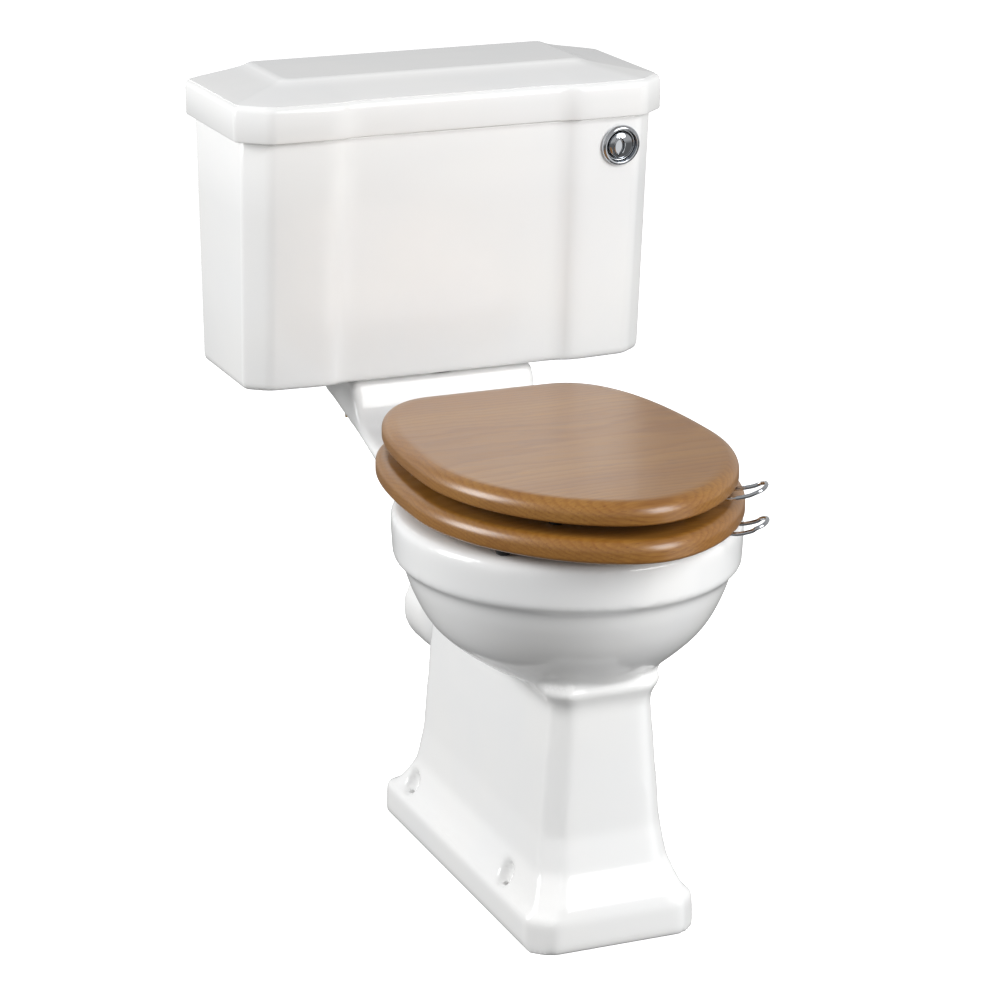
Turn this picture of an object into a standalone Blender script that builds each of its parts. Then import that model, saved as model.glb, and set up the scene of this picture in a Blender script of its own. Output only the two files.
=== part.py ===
"""Close coupled toilet: pan, cistern with its flushing parts, and an oak seat on chrome hinges.

Metres, +Z up. The front of the toilet faces -Y and the wall is on the +Y side. X is across, right as
seen from the front. The origin is on the floor, under the middle of the whole toilet.
Places along Y are given as a distance out from the wall and turned into world Y by out().
"""
import math

import bmesh
import bpy
from mathutils import Matrix, Vector

# ---------------------------------------------------------------- driving dimensions
DEPTH = 0.758                 # wall to the front of the seat
GAP = 0.0003                  # clearance between pieces that touch

# pan
RIM_Z = 0.455                 # top of the rim and of the hinge deck
RIM_HALF = 0.188              # half width of the rim band
BOWL_OUT = 0.512              # widest place of the rim, out from the wall
STEP_Z = 0.400                # underside of the rim band
BELLY_BASE_Z = 0.276
PLINTH_Z = 0.040
PLINTH_HALF = 0.0995
SHELF_Z = 0.515               # top of the shelf that carries the cistern
SHELF_HALF = 0.114
OUTLET_Z = 0.231              # centre of the horizontal outlet
OUTLET_OUT = 0.138
OUTLET_R = 0.051
TRAP_BORE_R = 0.039

# cistern
CISTERN_Z = 0.520
CISTERN_TOP_Z = 0.8128
LID_Z = 0.8134
LID_EDGE_Z = 0.8540
LID_TOP_Z = 0.8695
WALL = 0.009                  # thickness of the fired walls
VALVE_OUT = 0.095             # flush valve and coupling bolts, out from the wall
BOLT_X = 0.085
INLET_X = -0.190
INLET_OUT = 0.060
BUTTON_X = 0.2003
BUTTON_Z = 0.779
BUTTON_OUT = 0.1984           # wing face at the button's centre
BUTTON_TILT = math.radians(5.6)   # the front leans in towards its foot
BUTTON_YAW = math.radians(2.4)    # the wings sweep back a little

# seat
AXIS_OUT = 0.262              # hinge rod
AXIS_Z = 0.482
HINGE_X = 0.0775
ROD_R = 0.0045
RING_Z = 0.466
RING_TOP_Z = 0.491
SEAT_LID_Z = 0.5045
SEAT_LID_TOP_Z = 0.5295
SEAT_BACK = 0.274             # straight back edge of ring and lid
RING_GROW = 0.009             # the ring stands out past the lid

SMOOTH = math.radians(40)


def out(distance):
    """World Y of a place that many metres out from the wall."""
    return DEPTH / 2 - distance


# ---------------------------------------------------------------- scene and materials
for thing in list(bpy.data.objects):
    bpy.data.objects.remove(thing, do_unlink=True)

toilet = bpy.data.collections.new("close_coupled_toilet")
cutters = bpy.data.collections.new("cutters")
bpy.context.scene.collection.children.link(toilet)
bpy.context.scene.collection.children.link(cutters)


def material(name, colour, roughness, metallic=0.0):
    made = bpy.data.materials.new(name)
    made.use_nodes = True
    shader = made.node_tree.nodes["Principled BSDF"]
    shader.inputs["Base Color"].default_value = (*colour, 1.0)
    shader.inputs["Roughness"].default_value = roughness
    shader.inputs["Metallic"].default_value = metallic
    made.diffuse_color = (*colour, 1.0)
    return made


CHINA = material("glazed_china", (0.86, 0.86, 0.85), 0.08)
OAK = material("oak", (0.43, 0.26, 0.12), 0.35)
CHROME = material("chrome", (0.75, 0.76, 0.78), 0.06, 1.0)
BLACK_RUBBER = material("black_rubber", (0.02, 0.02, 0.02), 0.7)
WHITE_PLASTIC = material("white_plastic", (0.82, 0.83, 0.84), 0.4)
BLUE_PLASTIC = material("blue_plastic", (0.10, 0.25, 0.55), 0.4)
BRASS = material("brass", (0.72, 0.52, 0.22), 0.3, 1.0)


# ---------------------------------------------------------------- making and joining shapes
def keep(thing, name, finish):
    """Give a finished piece its name, its material and its place in the collection."""
    thing.name = name
    thing.data.name = name
    thing.data.materials.clear()
    thing.data.materials.append(finish)
    for group in list(thing.users_collection):
        group.objects.unlink(thing)
    toilet.objects.link(thing)
    thing.data.shade_smooth()
    thing.data.set_sharp_from_angle(angle=SMOOTH)
    return thing


def tool(thing, name):
    """Put a shape that only cuts or joins another in the cutters' collection."""
    thing.name = name
    for group in list(thing.users_collection):
        group.objects.unlink(thing)
    cutters.objects.link(thing)
    thing.hide_render = True
    thing.display_type = "WIRE"
    return thing


def combine(target, other, operation):
    step = target.modifiers.new(other.name, "BOOLEAN")
    step.operation = operation
    step.solver = "EXACT"
    step.object = other
    return target


def from_bmesh(shape, name):
    data = bpy.data.meshes.new(name)
    bmesh.ops.recalc_face_normals(shape, faces=shape.faces)
    shape.to_mesh(data)
    shape.free()
    made = bpy.data.objects.new(name, data)
    toilet.objects.link(made)
    return made


def loft(name, sections):
    """A closed solid through sections that all have the same number of points."""
    shape = bmesh.new()
    rings = []
    for section in sections:
        rings.append([shape.verts.new(point) for point in section])
    count = len(rings[0])
    for low, high in zip(rings, rings[1:]):
        for i in range(count):
            j = (i + 1) % count
            shape.faces.new((low[i], low[j], high[j], high[i]))
    shape.faces.new(list(reversed(rings[0])))
    shape.faces.new(rings[-1])
    return from_bmesh(shape, name)


def turned(name, profile, place, turn=(0.0, 0.0, 0.0), steps=24):
    """Turn a profile of (radius, height) about its own Z axis.

    The profile runs from the top down its outer side. It ends on the axis, or it is given closed
    by repeating its first point.
    """
    closed = profile[0] == profile[-1]
    points = profile[:-1] if closed else profile
    data = bpy.data.meshes.new(name)
    edges = [(i, i + 1) for i in range(len(points) - 1)]
    if closed:
        edges.append((len(points) - 1, 0))
    data.from_pydata([(r, 0.0, z) for r, z in points], edges, [])
    made = bpy.data.objects.new(name, data)
    toilet.objects.link(made)
    screw = made.modifiers.new("turn", "SCREW")
    screw.axis = "Z"
    screw.angle = math.tau
    screw.steps = steps
    screw.render_steps = steps
    screw.use_merge_vertices = True
    screw.merge_threshold = 0.00001
    made.location = place
    made.rotation_euler = turn
    return made


def pipe_profile(inner, outer, low, high):
    """Closed profile of a plain ring or tube."""
    return [(outer, high), (outer, low), (inner, low), (inner, high), (outer, high)]


def rod_profile(radius, low, high):
    return [(0.0, high), (radius, high), (radius, low), (0.0, low)]


def box(name, low, high, bevel=0.0):
    """A box between two corners, with rounded edges if bevel is given."""
    bpy.ops.mesh.primitive_cube_add(size=1.0)
    made = bpy.context.object
    size = [b - a for a, b in zip(low, high)]
    middle = [(a + b) / 2 for a, b in zip(low, high)]
    made.data.transform(Matrix.Diagonal((*size, 1.0)))
    made.location = middle
    if bevel > 0.0:
        edge = made.modifiers.new("edge", "BEVEL")
        edge.width = bevel
        edge.segments = 2
    made.name = name
    return made


def mesh_of_curve(thing, name):
    """The welded mesh of a curve, in the curve's place."""
    bpy.context.view_layer.update()
    seen = thing.evaluated_get(bpy.context.evaluated_depsgraph_get())
    data = bpy.data.meshes.new_from_object(seen)
    shape = bmesh.new()
    shape.from_mesh(data)
    bmesh.ops.remove_doubles(shape, verts=shape.verts, dist=0.00002)
    bmesh.ops.recalc_face_normals(shape, faces=shape.faces)
    shape.to_mesh(data)
    shape.free()
    made = bpy.data.objects.new(name, data)
    made.matrix_world = thing.matrix_world
    toilet.objects.link(made)
    bpy.data.objects.remove(thing, do_unlink=True)
    return made


def polyline(name, points, radius, resolution=2, cyclic=False):
    """A round bar or pipe along a line of points, with closed ends."""
    data = bpy.data.curves.new(name, "CURVE")
    data.dimensions = "3D"
    data.bevel_depth = radius
    data.bevel_resolution = resolution
    data.use_fill_caps = True
    spline = data.splines.new("POLY")
    spline.points.add(len(points) - 1)
    for knot, point in zip(spline.points, points):
        knot.co = (*point, 1.0)
    spline.use_cyclic_u = cyclic
    made = bpy.data.objects.new(name, data)
    toilet.objects.link(made)
    return mesh_of_curve(made, name)


def bend(points, count):
    """A smooth line of evenly placed points through a few given ones (Catmull-Rom)."""
    ends = [points[0] * 2 - points[1]] + points + [points[-1] * 2 - points[-2]]
    line = []
    for a, b, c, d in zip(ends, ends[1:], ends[2:], ends[3:]):
        for i in range(count):
            t = i / count
            line.append(0.5 * (2 * b + (c - a) * t + (2 * a - 5 * b + 4 * c - d) * t * t
                               + (3 * b - a - 3 * c + d) * t * t * t))
    line.append(points[-1])
    return line


# ---------------------------------------------------------------- pan
def egg(half, centre, front, rear, z, count=40):
    """A closed egg: one half width, its widest place, and how far it reaches each way."""
    points = []
    for i in range(count):
        angle = math.tau * i / count
        reach = front if math.sin(angle) > 0 else rear
        points.append(Vector((-half * math.cos(angle), out(centre + reach * math.sin(angle)), z)))
    return points


def footing(half, front, corner, rear, rear_corner, z):
    """A chamfered rectangle: half width, front of its sides, chamfer, and rear."""
    side = [(half - rear_corner, rear - rear_corner), (half, rear), (half, front),
            (half - corner, front + corner)]
    left = [Vector((-x, out(d), z)) for x, d in side]
    right = [Vector((x, out(d), z)) for x, d in reversed(side)]
    return left + right


def pan():
    rim = [
        # z, half width, front reach, rear reach
        (BELLY_BASE_Z, 0.060, 0.090, 0.095),
        (0.281, 0.078, 0.102, 0.110),
        (0.289, 0.094, 0.113, 0.122),
        (0.299, 0.109, 0.124, 0.133),
        (0.312, 0.127, 0.138, 0.145),
        (0.330, 0.146, 0.156, 0.160),
        (0.350, 0.159, 0.171, 0.176),
        (0.375, 0.170, 0.184, 0.190),
        (STEP_Z - 0.002, 0.177, 0.192, 0.200),
        (STEP_Z + 0.006, 0.186, 0.201, 0.208),
        (RIM_Z - 0.012, RIM_HALF, 0.204, 0.212),
        (RIM_Z - 0.003, RIM_HALF - 0.003, 0.201, 0.209),
        (RIM_Z, RIM_HALF - 0.011, 0.193, 0.201),
    ]
    body = loft("pan", [egg(half, BOWL_OUT, front, rear, z) for z, half, front, rear in rim])

    foot = [
        # z, half width, front of the sides, chamfer, rear, rear chamfer
        (0.0, PLINTH_HALF + 0.001, 0.6350, 0.0240, 0.2050, 0.010),
        (PLINTH_Z - 0.004, PLINTH_HALF, 0.6340, 0.0240, 0.2060, 0.010),
        (PLINTH_Z + 0.001, 0.0965, 0.6325, 0.0235, 0.2090, 0.009),
        (0.050, 0.0920, 0.6315, 0.0225, 0.2160, 0.008),
        (0.060, 0.0849, 0.6256, 0.0215, 0.2300, 0.008),
        (0.080, 0.0767, 0.6155, 0.0200, 0.2450, 0.008),
        (0.120, 0.0710, 0.6085, 0.0185, 0.2540, 0.008),
        (0.200, 0.0645, 0.6073, 0.0170, 0.2560, 0.008),
        (0.262, 0.0590, 0.6074, 0.0160, 0.2560, 0.008),
        (0.272, 0.0610, 0.6095, 0.0165, 0.2560, 0.008),
        (0.284, 0.0680, 0.6140, 0.0185, 0.2540, 0.008),
        (0.300, 0.0660, 0.6000, 0.0180, 0.2500, 0.008),
    ]
    pedestal = tool(loft("pedestal", [footing(w, f, c, r, k, z) for z, w, f, c, r, k in foot]),
                    "pedestal")
    combine(body, pedestal, "UNION")

    # the shelf for the cistern, its cove, and the deck for the hinges, as one side outline
    side = [(0.045, SHELF_Z), (0.148, SHELF_Z), (0.151, 0.503), (0.159, 0.484), (0.176, 0.467),
            (0.200, 0.458), (0.230, RIM_Z), (0.390, RIM_Z - 0.001), (0.390, 0.405), (0.300, 0.412),
            (0.206, 0.440), (0.156, 0.456), (0.098, 0.470), (0.050, 0.480)]
    shape = bmesh.new()
    walls = []
    for x in (-SHELF_HALF, SHELF_HALF):
        walls.append([shape.verts.new((x, out(d), z)) for d, z in side])
    for i in range(len(side)):
        j = (i + 1) % len(side)
        shape.faces.new((walls[0][i], walls[0][j], walls[1][j], walls[1][i]))
    shape.faces.new(walls[0])
    shape.faces.new(list(reversed(walls[1])))
    shelf = tool(from_bmesh(shape, "shelf"), "shelf")
    edge = shelf.modifiers.new("edge", "BEVEL")
    edge.width = 0.004
    edge.segments = 2
    edge.angle_limit = math.radians(50)
    combine(body, shelf, "UNION")

    # trap and flush duct: an outer pipe that joins, and a bore that cuts
    trap_line = [Vector((0, out(d), z)) for d, z in
                 ((0.400, 0.270), (0.345, 0.300), (0.295, 0.305), (0.245, 0.262), (0.205, 0.235),
                  (0.180, OUTLET_Z), (0.158, OUTLET_Z), (OUTLET_OUT, OUTLET_Z))]
    trap = tool(polyline("trap", bend(trap_line, 3), OUTLET_R, 5), "trap")
    combine(body, trap, "UNION")
    duct_line = [Vector((0, out(d), z)) for d, z in
                 ((VALVE_OUT, 0.4930), (0.098, 0.466), (0.125, 0.438), (0.180, 0.417),
                  (0.260, 0.412), (0.345, 0.415))]
    duct = tool(polyline("duct", bend(duct_line, 2), 0.034, 4), "duct")
    combine(body, duct, "UNION")

    inside = [
        # z, half width, centre, front reach, rear reach
        (RIM_Z + 0.010, 0.124, 0.505, 0.152, 0.130),
        (RIM_Z - 0.004, 0.124, 0.505, 0.152, 0.130),
        (RIM_Z - 0.030, 0.126, 0.505, 0.154, 0.132),
        (RIM_Z - 0.036, 0.158, 0.508, 0.180, 0.165),
        (0.385, 0.156, 0.506, 0.172, 0.166),
        (0.355, 0.132, 0.495, 0.148, 0.144),
        (0.335, 0.104, 0.480, 0.116, 0.110),
        (0.318, 0.076, 0.460, 0.082, 0.072),
        (0.295, 0.052, 0.440, 0.054, 0.050),
        (0.262, 0.044, 0.430, 0.044, 0.044),
        (0.246, 0.034, 0.428, 0.034, 0.034),
    ]
    bowl = loft("bowl", [egg(w, c, f, r, z, 32) for z, w, c, f, r in reversed(inside)])
    combine(body, tool(bowl, "bowl"), "DIFFERENCE")
    bore_line = [Vector((0, out(d), z)) for d, z in
                 ((0.430, 0.275), (0.395, 0.280), (0.345, 0.300), (0.295, 0.305), (0.245, 0.262),
                  (0.205, 0.235), (0.180, OUTLET_Z), (0.158, OUTLET_Z),
                  (OUTLET_OUT - 0.010, OUTLET_Z))]
    bore = tool(polyline("trap_bore", bend(bore_line, 3), TRAP_BORE_R, 4), "trap_bore")
    combine(body, bore, "DIFFERENCE")
    flush_line = [Vector((0, out(d), z)) for d, z in
                  ((VALVE_OUT, 0.5200), (VALVE_OUT, 0.490), (0.099, 0.465), (0.126, 0.438),
                   (0.180, 0.417), (0.260, 0.412), (0.360, 0.415))]
    flush = tool(polyline("flush_bore", bend(flush_line, 2), 0.026, 3), "flush_bore")
    combine(body, flush, "DIFFERENCE")
    recess = turned("seal_recess", rod_profile(0.0475, 0.4920, 0.530), (0, out(VALVE_OUT), 0))
    combine(body, tool(recess, "seal_recess"), "DIFFERENCE")

    hollow = [
        (-0.010, 0.066, 0.600, 0.020, 0.240, 0.008),
        (0.045, 0.062, 0.596, 0.018, 0.262, 0.008),
        (0.100, 0.058, 0.590, 0.016, 0.268, 0.008),
        (0.165, 0.052, 0.586, 0.014, 0.272, 0.008),
    ]
    under = loft("under_hollow", [footing(w, f, c, r, k, z) for z, w, f, c, r, k in hollow])
    combine(body, tool(under, "under_hollow"), "DIFFERENCE")

    holes = []
    for side_sign in (-1, 1):
        holes.append((side_sign * BOLT_X, VALVE_OUT, 0.0055, 0.40, 0.60))
        holes.append((side_sign * HINGE_X, AXIS_OUT, 0.0060, 0.38, 0.50))
        for screw_out in (0.257, 0.545):
            holes.append((side_sign * 0.083, screw_out, 0.0040, -0.01, 0.06))
            holes.append((side_sign * 0.081, screw_out, 0.0125, 0.0405, 0.075))
    for i, (x, distance, radius, low, high) in enumerate(holes):
        hole = turned(f"hole_{i}", rod_profile(radius, low, high), (x, out(distance), 0), steps=16)
        combine(body, tool(hole, f"hole_{i}"), "DIFFERENCE")
    keep(body, "pan", CHINA)


# ---------------------------------------------------------------- cistern and its lid
def front_plan(half, side, chamfer, wing, centre, rear, z):
    """The cistern's plan: chamfered corners, wings, and a centre panel set back from them."""
    right = [(half, rear), (half, side), chamfer, wing, centre]
    points = [Vector((x, out(d), z)) for x, d in right]
    return points + [Vector((-p.x, p.y, p.z)) for p in reversed(points)]


BODY_TOP = dict(half=0.2500, side=0.1720, chamfer=(0.2250, 0.2005), wing=(0.1490, 0.2035),
                centre=(0.1290, 0.1975))
BODY_FOOT = dict(half=0.2470, side=0.1500, chamfer=(0.2220, 0.1710), wing=(0.1510, 0.1760),
                 centre=(0.1340, 0.1690))
LID_EDGE = dict(half=0.2600, side=0.1801, chamfer=(0.2273, 0.2106), wing=(0.1475, 0.2123),
                centre=(0.1269, 0.2057))
LID_PANEL = dict(half=0.1850, side=0.1200, chamfer=(0.1770, 0.1285), wing=(0.1460, 0.1285),
                 centre=(0.1260, 0.1285))


def between(low, high, t, grow=0.0):
    """The plan a share t of the way from one to the other, with its walls moved out by grow."""
    def mix(a, b):
        return a + (b - a) * t
    near = {"half": mix(low["half"], high["half"]) + grow, "side": mix(low["side"], high["side"])}
    near["side"] += grow * 0.4
    for corner in ("chamfer", "wing", "centre"):
        x, d = (mix(a, b) for a, b in zip(low[corner], high[corner]))
        near[corner] = (x + (grow * 0.4 if corner == "chamfer" else 0.0), d + grow)
    return near


def cistern():
    rear = 0.004
    height = CISTERN_TOP_Z - CISTERN_Z
    stations = [(0.0, -0.006), (0.004, -0.002), (0.010, 0.0), (height, 0.0)]
    outer = [front_plan(**between(BODY_FOOT, BODY_TOP, rise / height, grow), rear=rear,
                        z=CISTERN_Z + rise) for rise, grow in stations]
    body = loft("cistern", outer)
    stations = [(0.012, -0.016), (0.022, -WALL - 0.001), (0.034, -WALL), (height + 0.01, -WALL)]
    inner = [front_plan(**between(BODY_FOOT, BODY_TOP, rise / height, grow), rear=rear + WALL,
                        z=CISTERN_Z + rise) for rise, grow in stations]
    combine(body, tool(loft("cistern_inside", inner), "cistern_inside"), "DIFFERENCE")
    floor_holes = [(0.0, VALVE_OUT, 0.0305), (BOLT_X, VALVE_OUT, 0.0055),
                   (-BOLT_X, VALVE_OUT, 0.0055), (INLET_X, INLET_OUT, 0.0105)]
    for i, (x, distance, radius) in enumerate(floor_holes):
        hole = turned(f"floor_hole_{i}", rod_profile(radius, 0.50, 0.55), (x, out(distance), 0),
                      steps=20)
        combine(body, tool(hole, f"floor_hole_{i}"), "DIFFERENCE")
    for side_sign in (-1, 1):
        hole = turned("wall_screw_hole", rod_profile(0.0035, -0.02, 0.02),
                      (side_sign * 0.180, out(0.008), 0.785), (math.radians(90), 0, 0), 12)
        combine(body, tool(hole, f"wall_screw_hole_{side_sign}"), "DIFFERENCE")
    hole = turned("button_hole", rod_profile(0.0175, -0.02, 0.02), button_place(),
                  button_turn(), 24)
    combine(body, tool(hole, "button_hole"), "DIFFERENCE")
    keep(body, "cistern", CHINA)


def cistern_lid():
    stations = [(LID_Z, 0.0, -0.0015), (LID_Z + 0.003, 0.0, 0.0), (LID_EDGE_Z - 0.005, 0.0, 0.0),
                (LID_EDGE_Z, 0.0, -0.004)]
    outer = [front_plan(**between(LID_EDGE, LID_EDGE, t, grow), rear=0.0, z=z)
             for z, t, grow in stations]
    for z, t in ((0.8575, 0.22), (0.8610, 0.52), (0.8645, 0.82), (0.8670, 0.99), (LID_TOP_Z, 1.02)):
        outer.append(front_plan(**between(LID_EDGE, LID_PANEL, t), rear=0.0, z=z))
    body = loft("cistern_lid", outer)
    inner = [front_plan(**between(LID_EDGE, LID_EDGE, 0.0, -0.023), rear=0.020, z=LID_Z - 0.01),
             front_plan(**between(LID_EDGE, LID_EDGE, 0.0, -0.023), rear=0.020, z=0.8440),
             front_plan(**between(LID_EDGE, LID_PANEL, 0.5, -0.010), rear=0.020, z=0.8530)]
    combine(body, tool(loft("lid_inside", inner), "lid_inside"), "DIFFERENCE")
    keep(body, "cistern_lid", CHINA)


# ---------------------------------------------------------------- joining cistern and pan
def coupling():
    middle = (0, out(VALVE_OUT), 0)
    seal = turned("coupling_seal", pipe_profile(0.0365, 0.0460, 0.4924, 0.5196), middle)
    keep(seal, "coupling_seal", BLACK_RUBBER)
    for side_name, sign in (("left", -1), ("right", 1)):
        place = (sign * BOLT_X, out(VALVE_OUT), 0)
        bolt = turned("coupling_bolt", [(0, 0.5450), (0.0090, 0.5450), (0.0090, 0.5396),
                                        (0.0042, 0.5396), (0.0042, 0.4530), (0, 0.4530)], place,
                      steps=16)
        keep(bolt, f"coupling_bolt_{side_name}", BRASS)
        washer = turned("coupling_washer", pipe_profile(0.0045, 0.0130, 0.5323, 0.5393), place)
        keep(washer, f"coupling_washer_{side_name}", BLACK_RUBBER)
        pad = turned("cistern_pad", pipe_profile(0.0060, 0.0160, 0.5153, 0.5197), place)
        keep(pad, f"cistern_pad_{side_name}", BLACK_RUBBER)
        nut = turned("wing_nut", pipe_profile(0.0045, 0.0085, 0.4575, 0.4685), place, steps=16)
        for wing_sign in (-1, 1):
            low, high = sorted((place[0] + wing_sign * 0.0070, place[0] + wing_sign * 0.0190))
            wing = box("wing", (low, place[1] - 0.0013, 0.4580), (high, place[1] + 0.0013, 0.4680),
                       0.0008)
            combine(nut, tool(wing, f"wing_{side_name}_{wing_sign}"), "UNION")
        keep(nut, f"coupling_wing_nut_{side_name}", BRASS)


# ---------------------------------------------------------------- flushing parts
def flush_valve():
    middle = (0, out(VALVE_OUT), 0)
    cage = [(0.0390, 0.6900), (0.0390, 0.5500), (0.0450, 0.5400), (0.0450, 0.5325),
            (0.0300, 0.5325), (0.0300, 0.4990), (0.0255, 0.4990), (0.0255, 0.5480),
            (0.0355, 0.5560), (0.0355, 0.6900), (0.0390, 0.6900)]
    body = turned("flush_valve_cage", cage, middle, steps=28)
    for i in range(4):
        window = box(f"cage_window_{i}", (-0.010, -0.050, 0.572), (0.010, -0.020, 0.650))
        window.data.transform(Matrix.Translation(window.location))
        window.location = middle
        window.rotation_euler = (0, 0, math.radians(45 + 90 * i))
        combine(body, tool(window, f"cage_window_{i}"), "DIFFERENCE")
    keep(body, "flush_valve_cage", WHITE_PLASTIC)
    nut = turned("flush_valve_nut", pipe_profile(0.0303, 0.0360, 0.5060, 0.5196), middle, steps=28)
    keep(nut, "flush_valve_nut", WHITE_PLASTIC)
    piston = [(0.0175, 0.7450), (0.0175, 0.5900), (0.0330, 0.5800), (0.0330, 0.5715),
              (0.0150, 0.5715), (0.0150, 0.7450), (0.0175, 0.7450)]
    keep(turned("flush_valve_piston", piston, middle), "flush_valve_piston", BLUE_PLASTIC)
    ring = turned("flush_valve_seal", pipe_profile(0.0165, 0.0340, 0.5670, 0.5712), middle)
    keep(ring, "flush_valve_seal", BLACK_RUBBER)
    head = [(0.0400, 0.7060), (0.0400, 0.6903), (0.0200, 0.6903), (0.0200, 0.7060),
            (0.0400, 0.7060)]
    keep(turned("flush_valve_head", head, middle, steps=28), "flush_valve_head", BLUE_PLASTIC)


def fill_valve():
    place = (INLET_X, out(INLET_OUT), 0)
    riser = [(0, 0.7420), (0.0110, 0.7420), (0.0110, 0.5500), (0.0170, 0.5460), (0.0170, 0.5358),
             (0.0098, 0.5358), (0.0098, 0.4960), (0.0065, 0.4960), (0.0065, 0.5350), (0, 0.5380)]
    keep(turned("fill_valve_riser", riser, place), "fill_valve_riser", WHITE_PLASTIC)
    washer = turned("fill_valve_washer", pipe_profile(0.0101, 0.0160, 0.5323, 0.5355), place)
    keep(washer, "fill_valve_washer", BLACK_RUBBER)
    nut = turned("fill_valve_nut", pipe_profile(0.0118, 0.0165, 0.5100, 0.5196), place, steps=6)
    keep(nut, "fill_valve_nut", WHITE_PLASTIC)
    cup = [(0.0270, 0.6730), (0.0270, 0.6030), (0.0250, 0.6030), (0.0250, 0.6700),
           (0.0135, 0.6700), (0.0135, 0.6030), (0.0114, 0.6030), (0.0114, 0.6730),
           (0.0270, 0.6730)]
    keep(turned("fill_valve_float", cup, place), "fill_valve_float", BLUE_PLASTIC)
    cap = [(0, 0.7620), (0.0150, 0.7620), (0.0200, 0.7560), (0.0200, 0.7423), (0, 0.7423)]
    keep(turned("fill_valve_cap", cap, place), "fill_valve_cap", WHITE_PLASTIC)


# ---------------------------------------------------------------- push button
def button_place():
    return (BUTTON_X, out(BUTTON_OUT), BUTTON_Z)


def button_turn():
    """Local +Z points out of the wing: forwards, a little down and a little outwards."""
    return (math.radians(90) + BUTTON_TILT, 0, BUTTON_YAW)


def almond(name, half_width, half_height, low, high):
    """A pointed oval prism from two arcs, standing on local Z, with its points up and down."""
    radius = (half_width ** 2 + half_height ** 2) / (2 * half_width)
    reach = math.asin(half_height / radius)
    arc = [reach * (2 * i / 10 - 1) for i in range(11)]
    right = [(radius * math.cos(a) - radius + half_width, radius * math.sin(a)) for a in arc]
    left = [(-x, -y) for x, y in right[1:-1]]
    outline = right + left
    return loft(name, [[Vector((x, y, z)) for x, y in outline] for z in (low, high)])


def push_button():
    place = button_place()
    turn = button_turn()
    bezel = [(0.0195, 0.0062), (0.0225, 0.0050), (0.0240, 0.0024), (0.0240, 0.0009),
             (0.0172, 0.0009), (0.0172, -0.0200), (0.0158, -0.0200), (0.0158, -0.0080),
             (0.0190, 0.0040), (0.0195, 0.0062)]
    keep(turned("button_bezel", bezel, place, turn, 32), "button_bezel", CHROME)
    nut = turned("button_nut", pipe_profile(0.0175, 0.0230, -0.0180, -0.0112), place, turn, 24)
    keep(nut, "button_nut", WHITE_PLASTIC)
    barrel = rod_profile(0.0155, -0.0420, -0.0125)
    keep(turned("button_barrel", barrel, place, turn), "button_barrel", WHITE_PLASTIC)

    disc = turned("full_flush_button", [(0.0, 0.0066), (0.0080, 0.0060), (0.0150, 0.0036),
                                        (0.0150, -0.0040), (0.0, -0.0040)], place, turn, 28)
    offset = Vector((-0.0035, 0, 0))
    slot = almond("half_slot", 0.0068, 0.0118, -0.02, 0.02)
    slot.location = Vector(place) + offset
    slot.rotation_euler = turn
    combine(disc, tool(slot, "half_slot"), "DIFFERENCE")
    keep(disc, "full_flush_button", CHROME)
    half = almond("half_flush_button", 0.0065, 0.0114, -0.0040, 0.0052)
    half.location = Vector(place) + offset
    half.rotation_euler = turn
    keep(half, "half_flush_button", CHROME)

    end = Vector((0.026, out(VALVE_OUT), 0.7085))
    start = Vector((BUTTON_X - 0.004, out(0.1500), 0.7820))
    line = [start, start + Vector((-0.012, 0.012, 0.004)), Vector((0.130, out(0.110), 0.776)),
            Vector((0.066, out(0.097), 0.768)), end + Vector((0, 0, 0.030)), end]
    keep(polyline("flush_cable", bend(line, 5), 0.0022), "flush_cable", BLACK_RUBBER)


# ---------------------------------------------------------------- hinges
def hinges():
    turn = (0, math.radians(90), 0)
    rod = turned("hinge_rod", rod_profile(ROD_R, -0.0930, 0.0930), (0, out(AXIS_OUT), AXIS_Z),
                 turn, 16)
    keep(rod, "hinge_rod", CHROME)
    for side_name, sign in (("left", -1), ("right", 1)):
        place = (sign * HINGE_X, out(AXIS_OUT), 0)
        post = turned("hinge_pillar", [(0, 0.4915), (0.0075, 0.4895), (0.0095, 0.4840),
                                       (0.0095, 0.4720), (0.0130, 0.4640), (0.0200, 0.4590),
                                       (0.0200, 0.4563), (0.0, 0.4563)], place, steps=20)
        hole = turned("rod_hole", rod_profile(ROD_R + GAP, -0.03, 0.03),
                      (place[0], place[1], AXIS_Z), turn, 16)
        combine(post, tool(hole, f"rod_hole_{side_name}"), "DIFFERENCE")
        keep(post, f"hinge_pillar_{side_name}", CHROME)
        stud = turned("hinge_stud", rod_profile(0.0038, 0.3850, 0.4560), place, steps=12)
        keep(stud, f"hinge_stud_{side_name}", BRASS)
        nut = turned("hinge_nut", pipe_profile(0.0047, 0.0095, 0.3900, 0.3990), place, steps=6)
        keep(nut, f"hinge_nut_{side_name}", BRASS)
        hinge_leaf(f"ring_leaf_{side_name}", sign * 0.0530, RING_Z - 0.0031, RING_Z - 0.0004)
        hinge_leaf(f"lid_leaf_{side_name}", sign * 0.0310, SEAT_LID_Z - 0.0031,
                   SEAT_LID_Z - 0.0004)


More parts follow.
